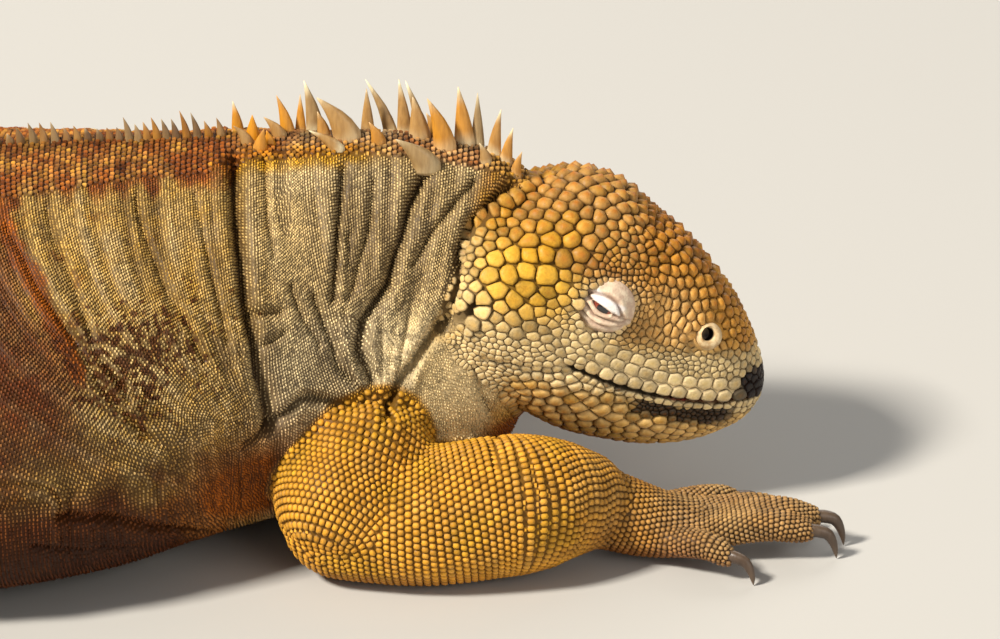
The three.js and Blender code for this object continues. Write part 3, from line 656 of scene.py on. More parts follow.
def pleat_waves(x, z):
    """Height of the pleats, from valleys of about -1 to ridges of about 1, with finer ones between."""
    along = np.stack([pleat_start(x, z), z * 0.1], -1)
    return clouds(along, 3.4, 3) + 0.35 * clouds(along, 1.7, 4)


# %% How far the skin moves
def add_trunk_folds(moved_by, at, normal, on_head):
    """Cuts the creases with a low lip on each side, then adds pleats of 0.9 mm and slack lumps of 0.8 mm."""
    x, y, z = (at / MM).T
    xz = np.stack([x, z], -1)
    flank = soft(np.hypot(normal[:, 1], normal[:, 2] * 0.4), 0.25, 0.6) * soft(np.abs(y), 4, 10)
    trunk = (1 - on_head) * soft(np.abs(y) - 60 - 60 * soft(x, 90, 20), 12, 0) * soft(x, 188, 182)
    for k, (depth, half, line) in enumerate(CREASES):
        far = line_distance(xz + 0.5 * clouds(xz, 9, k)[:, None], line) / half
        where = flank * np.where(k == NAPE_CREASE, 1, trunk)
        moved_by -= depth * (hump(far, 1) - 0.16 * hump(far - 2.6, 1.3)) * where
    depth = (0.25 + 0.75 * soft(x, -60, 60)) * soft(z, 8, 30)
    moved_by += trunk * flank * depth * 0.9 * pleat_waves(x, z)
    moved_by += trunk * 0.8 * clouds(at / MM, 16, 5) * soft(z, 8, 40)


def add_head_forms(moved_by, local, on_head):
    """Adds lips, lid rings, nostrils, ears and folds of the jaw, in the head's frame and in millimetres."""
    hx, hy, hz = local[:, 0], np.abs(local[:, 1]), local[:, 2]
    hxz = np.stack([hx, hz], -1)
    # a full upper lip, a groove under the lower one and the slit between them
    gap = gap_over_mouth(local)
    lips = on_head * soft(hx, 30, 38) * soft(hy, 3, 7)
    moved_by += lips * (0.9 * hump(gap - 3.2, 2.2) - 0.5 * hump(gap + 3.5, 2.4))
    open_way = 0.7 + 0.5 * soft(hx, 62, 84)
    moved_by -= on_head * soft(hx, 30, 36) * (2 + 2.2 * soft(hx, 55, 85)) * np.exp(-((gap / open_way) ** 4))
    # a groove round the lids, a socket behind them and a brow above
    eye = np.sqrt((hx - EYE["x"]) ** 2 + (hz - EYE["z"]) ** 2)
    out = soft(hy, 15, 20) * on_head
    moved_by -= out * (0.5 * hump(eye - 10.4, 1) + 3.5 * soft(eye, 9.2, 7.8))
    moved_by += out * 0.8 * hump(eye - 14, 2.2) * soft(hz, 8, 16)
    # a mound with a groove round each nostril, its hole, and a dent behind it
    nose = np.hypot(hx - NOSTRIL["x"], hz - NOSTRIL["z"])
    moved_by += on_head * soft(hy, 8, 12) * (1.2 * hump(nose, 7) - 1.2 * hump(nose - 5.6, 0.8))
    hole = np.hypot(hx - NOSTRIL["x"] + 1, hz - NOSTRIL["z"] - 0.4)
    moved_by -= on_head * soft(hy, 8, 12) * 6 * soft(hole, 3.6, 2.4)
    moved_by -= on_head * soft(hy, 8, 14) * 1.3 * bump_at(hxz, (58, 10), (7, 8))
    # the pit of the ear with its rim, the jowl and the crook of the jaw
    ear = line_distance(hxz, EAR_PIT)
    moved_by -= soft(hy, 25, 32) * 2.6 * np.exp(-((ear / 2.6) ** 4))
    moved_by += soft(hy, 25, 32) * 0.9 * hump(ear - 4, 1.5) * soft(hx, -10, -6)
    moved_by -= soft(hy, 20, 30) * on_head * 1.2 * hump(line_distance(hxz, JOWL), 1)
    moved_by -= soft(hy, 14, 24) * on_head * 1.5 * hump(line_distance(hxz, CROOK), 1.2)


def skin_moves(at, normal):
    """How far each place of the resting skin moves out along its normal, in metres."""
    local = to_head(at) / MM
    on_head = soft(local[:, 0], -16, -8)
    moved_by = np.zeros(len(at))
    add_trunk_folds(moved_by, at, normal, on_head)
    add_head_forms(moved_by, local, on_head)
    return moved_by * MM


# %% Move the skin
rest, rest_normal, rest_faces = places(skin.data), normals(skin.data), triangles(skin.data)
skin_tree = BVHTree.FromPolygons(rest.tolist(), rest_faces.tolist())


def on_skin(at):
    """Nearest places on the resting skin and the smooth normals there."""
    hits = [skin_tree.find_nearest(p) for p in np.asarray(at).tolist()]
    place = np.array([hit[0][:] for hit in hits])
    corners = rest_faces[[hit[2] for hit in hits]]
    weight = 1 / (((rest[corners] - place[:, None]) ** 2).sum(-1) + 1e-8)
    normal = (rest_normal[corners] * weight[..., None]).sum(1)
    return place, normal / np.linalg.norm(normal, axis=1, keepdims=True)


SKIN_BELOW_SCALES = 0.35 * MM
SKIN_OVER_FLOOR = 0.4 * MM
rest_moves = skin_moves(rest, rest_normal)
bare = rest + rest_normal * (rest_moves - SKIN_BELOW_SCALES)[:, None]
bare[:, 2] = np.maximum(bare[:, 2], SKIN_OVER_FLOOR)
skin.data.vertices.foreach_set("co", bare.ravel())
skin.data.update()
bare_normal = normals(skin.data)


def on_moved_skin(at):
    """Where places of the resting skin lie once it has moved, and the normals there."""
    corners = rest_faces[[skin_tree.find_nearest(p)[2] for p in at.tolist()]]
    a, b, c = (rest[corners[:, k]] for k in range(3))
    face = np.cross(b - a, c - a)
    size = (face**2).sum(1)
    to_b = (np.cross(at - a, c - a) * face).sum(1) / size
    to_c = (np.cross(b - a, at - a) * face).sum(1) / size
    share = np.clip(np.stack([1 - to_b - to_c, to_b, to_c], -1), 0, 1)
    share /= share.sum(1, keepdims=True)
    normal = (bare_normal[corners] * share[..., None]).sum(1)
    normal /= np.linalg.norm(normal, axis=1, keepdims=True)
    return (bare[corners] * share[..., None]).sum(1) + normal * SKIN_BELOW_SCALES, normal


print(f"skin moved between {rest_moves.min() / MM:.1f} and {rest_moves.max() / MM:.1f} mm")

# %% [markdown]
# ## Crest spines and claws
# Crest spines are tall scales of horn that stand along the ridge. Those of the neck are large, each of its
# own size and lean, and those of the back are small and close together. A cone with a bent axis and an oval
# section is the shape of both, and of the hooked claws, so one function bends a cone from an operator along a
# short list of joints. The spines of the neck are listed one by one, because each of them can be told apart,
# and the back follows a rule.

# %% A bent horn
SEED = 11
chance = np.random.default_rng(SEED)
HORN_AROUND = 10


def horn(bm, joints, across, around=HORN_AROUND, along=7):
    """Adds a closed horn through joints of (place, wide, thick), whose thin way is `across`."""
    rows = np.array([[k, *place, wide, thick] for k, (place, wide, thick) in enumerate(joints)], float)
    last = len(joints) - 1
    across = np.asarray(across, float)

    def bent(at):
        k = (at[:, 2] + 0.5) * last
        axis = lambda j: np.stack([column(rows, c, np.clip(j, 0, last)) for c in (1, 2, 3)], -1)
        way = axis(k + 0.01) - axis(k - 0.01)
        broad = np.cross(across, way)
        broad /= np.linalg.norm(broad, axis=1, keepdims=True)
        thin = np.cross(way, broad)
        thin /= np.linalg.norm(thin, axis=1, keepdims=True)
        wide, thick = (at[:, c - 4] * column(rows, c, k) for c in (4, 5))
        return axis(k) + broad * wide[:, None] + thin * thick[:, None]

    pour(bm, moved(cylinder(around, along), bent))


def horn_marks(mesh, looks):
    """Stores the paint, pale tip and dark cast of each horn, and how far up it each vertex is."""
    per = len(mesh.vertices) // len(looks)
    order = np.array([v.co[:] for v in mesh.vertices]).reshape(len(looks), per, 3)
    start = order[:, :HORN_AROUND].mean(1, keepdims=True)
    far = np.linalg.norm(order - start, axis=2)
    for name, values in zip(("tone", "pale", "dusky"), zip(*looks)):
        float_layer(mesh, name, np.repeat(values, per))
    float_layer(mesh, "top", far / far.max(1, keepdims=True))


# %% Spines of the neck
# x and y of the root, height, how far the tip leans to the tail, width at the root,
# paint (0 grey, 1 orange) and how pale the tip is
NECK_SPINES = [
    (91, 5, 10.5, 1.6, 4.4, 0.9, 0.6), (96, -3, 9, 0, 5.4, 1, 0), (98.5, -7, 7.5, -1.3, 5, 0.8, 0.1),
    (94.5, -4, 6, 4.5, 4.6, 0.2, 0), (104.5, -1, 6.5, 5, 5, 0.3, 0.2), (107, 2, 12.5, 3.5, 5, 0.85, 0.2),
    (111, 4, 12.5, 0, 3.8, 0.8, 0.5), (115.8, 4, 17, 3.6, 6.4, 0.1, 0.9),
    (126, -2, 13.5, 9.5, 9.5, 0.25, 0.4),
    (123, -7, 7, 9, 5.2, 0.25, 1), (132.3, 6, 14.5, 0.3, 4.8, 0.3, 0.3), (140, 10, 19, 8.5, 5, 0.1, 1),
    (144.2, 9, 19, 2, 5.6, 0.3, 0.9), (149.7, 9, 19, 5.4, 5, 0.1, 1), (149, 0, 13.5, 2.2, 7.4, 0.3, 0.3),
    (157, -3, 16.5, 5.5, 7.6, 0.8, 0.4), (163.2, 1, 19, 2, 7, 0.7, 0.7), (167.4, 2, 17.5, 0, 4.6, 0, 0.4),
    (151.3, -10, 10, 9.7, 9.5, 0.05, 0.3), (172.6, -1, 15, -2.3, 4.8, 0.45, 0.9),
    (176.4, -2, 11.5, -2.3, 4.4, 0.6, 0.9), (179.5, -4, 7.5, -2, 3.8, 0.6, 0.4),
    (136, -4, 7, 3, 5, 0.7, 0.2), (118.5, 0, 7.5, 2, 4.6, 0.5, 0.3),
    (101.5, -5, 5, 1, 4, 0.9, 0), (154, 5, 8, 3, 5, 0.5, 0.3), (170, -5, 6, 2, 4, 0.2, 0.5),
]
crest = bmesh.new()
spine_looks = []


def spine(root, out, lean, tall, wide, thick, paint, pale, dusky=0):
    """One crest spine that leaves the skin along `out` and curves over by `lean`."""
    spine_looks.append((paint, pale, dusky))
    start = root - out * 2.2 * MM
    tip = root + out * tall + lean
    belly = root + out * tall * 0.42 + lean * 0.28
    high = root + out * tall * 0.74 + lean * 0.64
    joints = [(start, wide / 2, thick / 2), (root, wide / 2, thick / 2), (belly, wide * 0.35, thick * 0.34),
              (high, wide * 0.17, thick * 0.17), (tip, wide * 0.02, thick * 0.02)]
    horn(crest, joints, across=np.cross(out, (1, 0, 0)))


for x, y, tall, lean, wide, paint, pale in NECK_SPINES:
    hit = skin_tree.ray_cast(Vector((x * MM, y * MM, 0.2)), Vector((0, 0, -1)))
    root, out = np.array(hit[0]), np.array([0, y * 0.02, 1.0])
    out /= np.linalg.norm(out)
    spine(root, out, np.array([-lean, 0, 0]) * MM, tall * MM, wide * MM, wide * 0.55 * MM, paint, pale)

# %% Spines of the back and tail
# s along the spine, height, pitch
BACK_SPINES = table([(100, 10, 3.6), (112, 8.5, 3.4), (135, 6.5, 3.4), (165, 6, 3.8), (250, 5.5, 4.4),
                     (440, 5, 5),
                     (640, 3.8, 5.5), (800, 2.6, 6), (985, 1.2, 6.5)])
s = BACK_SPINES[0, 0]
while s < BACK_SPINES[-1, 0]:
    tall, pitch = column(BACK_SPINES, 1, s) * chance.uniform(0.55, 1.15), column(BACK_SPINES, 2, s)
    turn = np.interp(s, spine_s, spine_turn)
    backward = np.array([-math.cos(turn), math.sin(turn), 0])
    sideways = np.array([math.sin(turn), math.cos(turn), 0]) * chance.uniform(-1, 1)
    out = np.array([0, 0, 1.0]) + sideways * 0.15
    spine(trunk_point(s, 0, -SKIN_DEPTH), out, backward * tall * 0.25, tall,
          pitch * 0.85, pitch * 0.45, chance.random() ** 3 * soft(s, 0.3, 0.15) * 0.9, chance.random() * 0.3,
          chance.uniform(0.35, 1))
    s += pitch * chance.uniform(0.85, 1.15)
crest = mesh_object("crest_spines", crest)
horn_marks(crest.data, spine_looks)
print("crest:", len(crest.data.polygons), "faces")

# %% Claws
# A claw runs level out of the digit and then hooks down to the floor. Each of its joints has how far out it
# is, the share of the digit's height that it has dropped, half width and half thickness.
CLAW = {"length": 11.7, "half": 2.2}
claws = bmesh.new()
for end, way in claw_starts:
    down = lambda out, drop: (*(end + way * out * MM)[:2], end[2] * (1 - drop))
    reach, half = CLAW["length"], CLAW["half"] * MM
    sideways = np.cross(way, (0, 0, 1))
    horn(claws, [(down(-3, 0), half * 0.9, half * 0.8), (down(0, -0.04), half, half * 0.85),
                 (down(reach * 0.36, 0.06), half * 0.9, half * 0.72),
                 (down(reach * 0.56, 0.42), half * 0.62, half * 0.5),
                 (down(reach * 0.63, 0.75), half * 0.34, half * 0.3),
                 (down(reach * 0.65, 0.96), half * 0.05, half * 0.05)],
         across=sideways, along=16)
claws = mesh_object("claws", claws)
horn_marks(claws.data, [(0, 0.5, 0)] * len(claw_starts))
print(len(claw_starts), "claws")

# %% [markdown]
# ## Markings
# The animal is straw and ochre, with a rust flank, an orange band along the back, yellow cheeks, pale lips
# and lids and a black snout tip. Each paint gets one function of place, so that the skin and the scales on it
# always agree. A texture painted by hand would need an unwrapped body and could slip against the scales. Some
# paints also lay painted shade, in the creases and pleat valleys, the armpit, the low flank and limbs, under
# the jaw, in the slit of the mouth and in the pit of the ear, and painted light, on the pleat ridges, the
# throat and the side of the jaw.

# %% Where each paint lies
PAINTS = ("pale", "yellow", "ochre", "amber", "rust", "umber", "soot", "flesh")
# x and z along the front edge of the rust flank
RUST_EDGE = np.array([(18.0, 80), (53, 57), (92, 38), (113, 18), (125, 6)])
# x and z along the orange streak that runs down from the band behind the shoulder
STREAK = [(12, 121), (18, 115), (30, 102), (38, 91), (44, 80)]


def surveyed(at):
    """Places on the resting skin as the painters ask for them, in millimetres."""
    x, y, z = (at / MM).T
    local = to_head(at) / MM
    hx, hy, hz = local[:, 0], np.abs(local[:, 1]), local[:, 2]
    limb, on_head = is_limb(at), soft(hx, -15, -9)
    # noises of 14 mm down to 1.2 mm, which tear the edges of the paints
    wide, fine, speck = (clouds(at / MM, size, salt) for size, salt in ((14, 11), (3.5, 12), (1.2, 23)))
    grain = 0.6 * clouds(at / MM, 6, 13) + 0.4 * clouds(at / MM, 1.6, 14)
    trunk = (1 - on_head) * (1 - limb)
    # the band along the back reaches 6 to 10 mm down in rays that follow the pleats
    down = column(TRUNK, 1, x * MM) / MM - z
    rays = clouds(np.stack([pleat_start(x, z), z * 0.16], -1), 4.5, 22)
    low = down - 2 * soft(x, 70, 5)
    band = soft(low + 2.6 * rays + 1.2 * fine + 0.8 * wide, 9.5, 6) * soft(x + 5 * fine, 98, 86) * trunk
    return {
        "x": x, "y": y, "z": z, "xz": np.stack([x, z], -1), "down": down, "band": band,
        "hx": hx, "hy": hy, "hz": hz, "hxz": np.stack([hx, hz], -1), "local": np.stack([hx, hy, hz], -1),
        "wide": wide, "fine": fine, "speck": speck, "grain": grain,
        "limb": limb, "head": on_head * (1 - limb), "trunk": trunk,
    }


# %% Painters of the trunk
# Each painter lays its paints with strengths from 0 to 1. soft(x, a, b) fades a paint in from a to b, in
# millimetres, so the numbers beside x, z and down are places on the animal, read from the photo.
def paint_flank(lay, *, x, z, xz, down, band, trunk, wide, fine, grain, speck, **others):
    """Rust behind a torn edge with two tan patches, a mottled patch in a golden field, and painted shade low
    on the flank.
    """
    edge = np.interp(z, RUST_EDGE[:, 0], RUST_EDGE[:, 1])
    behind = soft(x - edge + 7 * wide + 4 * grain, 5, -9)
    tan_patch = bump_at(xz, (40, 52), (22, 9)) + bump_at(xz, (-50, 88), (45, 12))
    lay("rust", trunk * behind * np.clip(0.95 + 0.35 * grain - 0.8 * tan_patch, 0.1, 1) * soft(down, 8, 15))
    mottled = soft(bump_at(xz, (58, 80), (30, 18)) + 0.7 * speck + 0.4 * grain, 0.7, 1)
    lay("rust", 0.85 * trunk * mottled, trunk * 0.75 * bump_at(xz, (72, 47), (20, 6)) * soft(fine, -0.5, 0.5))
    speckle = soft(grain + 0.5 * fine, 0.42, 0.62) * trunk * soft(x, 88, 20) * soft(down, 6, 14)
    lay("rust", 0.7 * speckle)
    golden = np.maximum(0.28 + 0.3 * grain, 0.55 * soft(grain, 0.1, 0.5)) * soft(x, -60, 0) * soft(x, 112, 84)
    lay("yellow", trunk * np.clip(golden, 0, 1))
    # painted shade: the flank darkens towards the floor, in umber over a warm amber
    painted_low_shade = soft(z + 6 * wide - 0.12 * (60 - x), 48, 20) * soft(x, 104, 66)
    low_flank = soft(z, 104, 90) * soft(x, -140, -60)
    dark_specks = 0.45 * soft(speck, 0, 0.6) * np.maximum(low_flank, 0.6 * band)
    ridge = soft(down, 2.6, 0.8)
    lay("umber", trunk * np.max([0.8 * painted_low_shade, 0.55 * ridge, 0.6 * mottled, dark_specks], axis=0))
    lay("amber", 0.8 * trunk * soft(painted_low_shade, 0, 0.5))
    smoky = soft(x, 98, 60) * soft(z, 106, 86) * soft(wide + 0.5 * grain, -0.5, 0.4)
    lay("umber", 0.26 * trunk * smoky)
    lay("pale", 0.5 * trunk * low_flank * soft(-speck, 0, 0.6) * (1 - behind))


def paint_back(lay, *, x, xz, down, band, trunk, fine, grain, speck, **others):
    """The orange band with rust and gold in it, an orange streak, and gold and amber under the crest."""
    lay("amber", band * np.clip(0.75 + 0.8 * grain, 0.15, 1))
    lay("rust", 0.7 * band * soft(grain, -0.1, 0.4), 0.6 * band * soft(speck, 0.1, 0.5))
    lay("yellow", 0.7 * band * soft(-grain, -0.1, 0.4))
    lay("amber", trunk * soft(line_distance(xz, STREAK) + fine, 3.4, 1.6))
    below_spines = soft(down + fine, 9, 5.5) * soft(down, 1.5, 4)
    under_crest = below_spines * soft(x + 3 * fine, 74, 82) * soft(x, 150, 125)
    lay("yellow", trunk * np.clip(under_crest * (1 + 0.3 * grain), 0, 1))
    collar = trunk * soft(down, 6, 4) * soft(x, 84, 88)
    lay("amber", collar * np.clip(0.55 + 0.5 * grain, 0, 1))
    lay("rust", 0.6 * collar * soft(fine, -0.2, 0.4))


def paint_neck(lay, *, x, y, z, xz, trunk, wide, **others):
    """Painted shade in the creases, the pleat valleys and the armpit, painted highlight on the pleat ridges,
    a throat made pale partly as painted light, a pale nape and faint rings on the tail.
    """
    # painted shade: the armpit is darkened with umber over a warm amber
    armpit = bump_at(xz, (95, 36), (11, 14)) * soft(np.abs(y), 40, 52)
    lay("umber", trunk * 0.5 * armpit)
    lay("amber", trunk * np.clip(1.5 * bump_at(xz, (97, 32), (24, 17)), 0, 1))
    # painted shade: umber in the creases and the pleat valleys; painted highlight: pale on the pleat ridges
    deepest = CREASES[0][0]
    folds = np.max([depth / deepest * hump(line_distance(xz, line), 1.1 * half)
                    for depth, half, line in CREASES], axis=0)
    side = soft(np.abs(y), 6, 14) * trunk
    waves = pleat_waves(x, z) * soft(x, -60, 40)
    # the low throat is pale, partly its own colour and partly painted light; the painted crease shade is
    # weaker there
    low_throat = trunk * soft(x, 112, 134) * soft(z, 90, 74)
    lay("umber", 0.8 * side * folds * (1 - 0.4 * low_throat), 0.42 * side * soft(waves, -0.05, -0.6))
    lay("pale", 0.45 * side * soft(waves, 0.1, 0.7), low_throat)
    nape = 0.3 * soft(x, 92, 104) + 0.25 * soft(wide, 0, 0.6) * soft(x, 60, 90)
    lay("pale", trunk * (nape + 0.5 * soft(x, 92, 108) * soft(z, 92, 76)))
    tail = soft(x, -240, -330)
    rings = 0.5 + 0.5 * np.sin(x / 9 + 2 * wide)
    lay("umber", trunk * tail * (0.35 + 0.3 * rings * soft(wide, -0.4, 0.4)))


# %% Painters of the limbs and head
def paint_limbs(lay, *, x, y, z, limb, wide, fine, grain, **others):
    """Ochre arms with yellow clouds, painted shade in rust low down next to the floor, and a rustier, greyer
    right hand.
    """
    hand = soft(x, 192, 212) * soft(y, 0, -10)
    digits = soft(x, 218, 232) * soft(y, 0, -10)
    lay("ochre", limb * np.clip(0.95 + 0.2 * fine - 0.35 * hand, 0, 1) * (1 - 0.4 * digits * limb))
    # rust: a little everywhere, more on the right hand, and painted shade in the lowest 12 mm next to the
    # floor
    lay("rust", limb * np.clip(0.05 + 0.36 * hand + 0.5 * soft(z, 12, 2) + 0.25 * wide, 0, 0.8))
    lay("umber", limb * digits * np.clip(0.26 + 0.3 * grain, 0, 1))
    lay("pale", limb * digits * 0.5)
    lay("yellow", limb * (1 - hand) * soft(wide + 0.5 * grain, 0.1, 0.7) * 0.8)


def paint_head(lay, *, hx, hy, hz, local, head, fine, **others):
    """A brown crown and snout, a yellow cheek, white lids and lips, and a jaw lightened as painted light on
    its side and darkened as painted shade under it.
    """
    crown = head * soft(hz, 14, 22) * soft(hx, 70, 40)
    snout = head * soft(hx, 38, 50) * soft(hz - (hx - 60) * 0.1, -4, 4)
    jaw = head * soft(hz, -19, -23) * soft(hx, 12, 24)
    cheek = head * np.clip(bump_at(local, (10, 34, 13), (16, 30, 12)) * 1.5, 0, 1)
    gap = gap_over_mouth(local)
    eye = np.hypot(hx - EYE["x"], hz - EYE["z"]) + 2 * soft(hy, 24, 16)
    lid_ring = head * soft(eye + 1.2 * fine, 13, 9.5)
    lip = head * soft(gap, 12, 8) * soft(gap, -3.4, -2.8) * soft(hx, 34, 44)
    off_lip = 1 - lip
    lay("pale", head * np.clip(0.6 - snout - jaw - 0.5 * crown - cheek, 0, 1), 0.95 * lip, 0.85 * lid_ring)
    # painted light: pale on the side of the jaw, above its underside; the jaw's share of yellow below adds to
    # it
    lay("pale", 0.45 * snout * soft(hy, 10, 18) + 0.9 * jaw * soft(hz, -39, -31) * soft(fine, -1, 0.1))
    flat_side = soft(hy, 12, 20)
    browner = 0.5 * crown + (0.8 - 0.3 * flat_side) * snout * off_lip * (1 - 0.7 * lid_ring) + 0.4 * jaw
    lay("ochre", np.clip(browner, 0, 1))
    lay("yellow", np.clip(0.9 * cheek + 0.1 * lip + 0.5 * crown * soft(fine, 0.1, 0.6) + 0.3 * jaw, 0, 1))
    # painted shade: amber and rust under the jaw
    lay("amber", 0.15 * snout * off_lip + 0.95 * jaw * soft(hz, -37, -43) + 0.2 * crown)
    lay("rust", 0.45 * snout * soft(hy, 15, 6) * soft(fine, -0.4, 0.4) + 0.6 * jaw * soft(hz, -37, -44))
    brow = bump_at(local, (31, 28, 20), (12, 12, 4)) * soft(fine, -0.7, 0.2)
    lay("rust", 0.5 * head * brow)
    lay("umber", 0.22 * crown + 0.1 * snout * off_lip * soft(hy, 20, 12))


def paint_mouth_and_ear(lay, *, x, hx, hy, hz, hxz, local, head, fine, **others):
    """A black snout tip and lower lip, painted shade in soot along the slit of the mouth with red in its
    front part, and a pale rim round the ear, whose pit is darkened as painted shade.
    """
    gap = gap_over_mouth(local)
    lay("soot", head * soft(hx + fine, 88.8, 91) * soft(hz, -13.8, -12.4) * soft(hz, -2.8, -4.8))
    dark_lip = soft(gap + 0.6 * fine, -2.7, -3.4) * soft(gap + 1.4 * fine, -9.6, -7.6)
    # painted shade: soot along the slit of the mouth, with red in its front part
    slit = soft(np.abs(gap), 1.5, 1) * soft(hx, 30, 34)
    lay("soot", 0.96 * head * dark_lip * soft(hx + 3 * fine, 54, 60) * soft(hx, 94, 90),
        0.9 * head * slit * soft(hx, 74, 66))
    lay("flesh", head * slit * soft(hx, 64, 74))
    pit = line_distance(hxz, EAR_PIT)
    beside = soft(hy, 25, 32) * soft(x, 150, 154)
    lay("pale", 0.7 * beside * soft(pit, 5, 3.4))
    lay("yellow", 0.3 * beside * soft(pit, 5, 3.4))
    # painted shade: soot in the pit of the ear
    lay("soot", 0.55 * beside * soft(pit, 3, 2.2))


def markings(at):
    """How much of each paint lies at places on the resting skin."""
    spots = surveyed(at)
    paint = {name: np.zeros(len(at)) for name in PAINTS}

    def lay(name, *amounts):
        paint[name] = np.max([paint[name], *amounts], axis=0)

    for painter in (paint_flank, paint_back, paint_neck, paint_limbs, paint_head, paint_mouth_and_ear):
        painter(lay, **spots)
    return np.stack(list(paint.values()), -1)


# %% Which places belong to the head or a limb
def beyond(tree, at):
    """How far places are from a form, in millimetres."""
    return np.array([tree.find_nearest(p)[3] for p in np.asarray(at).tolist()]) / MM


def is_limb(at):
    """1 on the limbs, 0 away from them, with a soft border over the shoulder and hip."""
    return soft(beyond(limb_tree, at), 3.5, 1.2)


# %% [markdown]
# ## Scales
# A land iguana has thousands of scales: bony plates on the cheek, cones on the crown, squares along the lips,
# beads in rows on the flank and keeled grains on the limbs. Each is a small dome whose rim sinks into the
# skin. One plate shape is made by operators from a circle, inset to rings and poked at its centre, and it is
# then repeated in arrays with a size, outline, height and tilt for each root. Bump in a material wouldn't
# change the outline of the animal.

# %% One plate from operators
def unit_plate(sides, shares):
    """A plate of rings: the spoke and ring of each vertex, and the triangles. The centre is the last ring."""
    bm = bmesh.new()
    bmesh.ops.create_circle(bm, cap_ends=True, segments=sides, radius=1)
    for outer, inner in zip(shares, shares[1:]):
        middle = min(bm.faces, key=lambda f: f.calc_center_median().length)
        bmesh.ops.inset_region(bm, faces=[middle], thickness=(outer - inner) * math.cos(math.pi / sides),
                               use_boundary=True, use_even_offset=True)
    middle = min(bm.faces, key=lambda f: f.calc_center_median().length)
    bmesh.ops.poke(bm, faces=[middle])
    bmesh.ops.triangulate(bm, faces=bm.faces)
    at = np.array([v.co[:2] for v in bm.verts])
    bm.verts.index_update()
    faces = np.array([[v.index for v in f.verts] for f in bm.faces])
    facing = [f.normal.z for f in bm.faces]
    bm.free()
    if np.mean(facing) < 0:
        faces = faces[:, ::-1]
    reach = np.linalg.norm(at, axis=1)
    spoke = np.round(np.arctan2(at[:, 1], at[:, 0]) / (2 * np.pi) * sides).astype(int) % sides
    ring = np.array([np.argmin(np.abs(np.array([*shares, 0]) - r)) for r in reach])
    return spoke, ring, faces


SCALE_OVER_FLOOR = 0.15 * MM
# half width of each scale's patch on the OFBake unwrap
PATCH_HALF = 0.0014


def plates(name, at, up, ahead, radii, rise, marks, tone, unwrap, shares=(1,), lifts=(-0.55, 1), tilt=0,
           pointed=0, cone_lifts=None):
    """One mesh of many plates. Lifts are shares of the rise, but the first is the sunk rim in millimetres."""
    sides = radii.shape[1]
    spoke, ring, faces = unit_plate(sides, shares)
    share = np.array([*shares, 0])[ring]
    angle = spoke * 2 * np.pi / sides
    left = np.cross(up, ahead)
    run = radii[:, spoke] * share
    forward, across = run * np.cos(angle), run * np.sin(angle)
    pointed = np.broadcast_to(pointed, len(at))[:, None]
    level = np.array(lifts)[ring] * (1 - pointed) + np.array(cone_lifts or lifts)[ring] * pointed
    high = np.where(ring == 0, lifts[0] * MM, level * rise[:, None] + forward * tilt)
    where = (at[:, None] + forward[..., None] * ahead[:, None] + across[..., None] * left[:, None]
             + high[..., None] * up[:, None])
    where[..., 2] = np.maximum(where[..., 2], SCALE_OVER_FLOOR)
    count, per = len(at), len(spoke)
    mesh = bpy.data.meshes.new(name)
    corners = (faces[None] + (np.arange(count) * per)[:, None, None]).reshape(-1)
    mesh.vertices.add(count * per)
    mesh.vertices.foreach_set("co", where.ravel())
    mesh.loops.add(len(corners))
    mesh.loops.foreach_set("vertex_index", corners)
    mesh.polygons.add(len(corners) // 3)
    mesh.polygons.foreach_set("loop_start", np.arange(0, len(corners), 3))
    mesh.update(calc_edges=True)
    mesh.shade_smooth()
    repeat = lambda values: np.repeat(values, per, axis=0)
    top = np.tile(np.where(ring == 0, 0, ring / len(shares)), count)
    paint_mesh(mesh, repeat(marks), top, repeat(tone))
    float_layer(mesh, "peak", repeat(pointed[:, 0]))
    spokes = np.stack([np.cos(angle), np.sin(angle)], -1)
    flat = unwrap[:, None] + PATCH_HALF * share[None, :, None] * spokes[None]
    bake = mesh.uv_layers.new(name="OFBake")
    bake.data.foreach_set("uv", flat.reshape(-1, 2)[corners].astype(np.float32).ravel())
    made = bpy.data.objects.new(name, mesh)
    bpy.context.collection.objects.link(made)
    print(f"{name}: {count} scales, {len(corners) // 3} triangles")
    return made


def paint_mesh(mesh, marks, top, tone):
    """Stores the paints, the height within a scale and the tone of each scale as attributes."""
    for name, columns in (("paint_a", marks[:, :4]), ("paint_b", marks[:, 4:8])):
        layer = mesh.attributes.new(name, "FLOAT_COLOR", "POINT")
        layer.data.foreach_set("color", columns.astype(np.float32).ravel())
    float_layer(mesh, "top", top)
    float_layer(mesh, "tone", tone)


# Between scales the skin is as dark as a seam, partly its own dark colour and partly painted shade; on the
# throat, where its folds lie open, it is kept lighter, as painted light.
throat = soft(rest[:, 0] / MM, 130, 142) * soft(rest[:, 2] / MM, 86, 74) * (1 - is_limb(rest))
paint_mesh(skin.data, markings(rest), 0.1 + 0.3 * throat, np.full(len(rest), 0.5))

# %% Thin the painted skin
# A collapse keeps small faces where the skin is folded and carries the paint along. Done before the folds
# were in, it would have taken the faces that they need.
SKIN_TRIANGLES = 190000
thin = skin.modifiers.new("thin", "DECIMATE")
thin.ratio = SKIN_TRIANGLES / len(rest_faces)
thin.use_collapse_triangulate = True
settle(skin)
print(f"skin thinned from {len(rest_faces)} to {len(triangles(skin.data))} triangles")

# %% Roots that keep their distance
def tree_of(at):
    """A tree that finds the nearest of some places."""
    tree = KDTree(len(at))
    for i, p in enumerate(np.asarray(at).tolist()):
        tree.insert(p, i)
    tree.balance()
    return tree


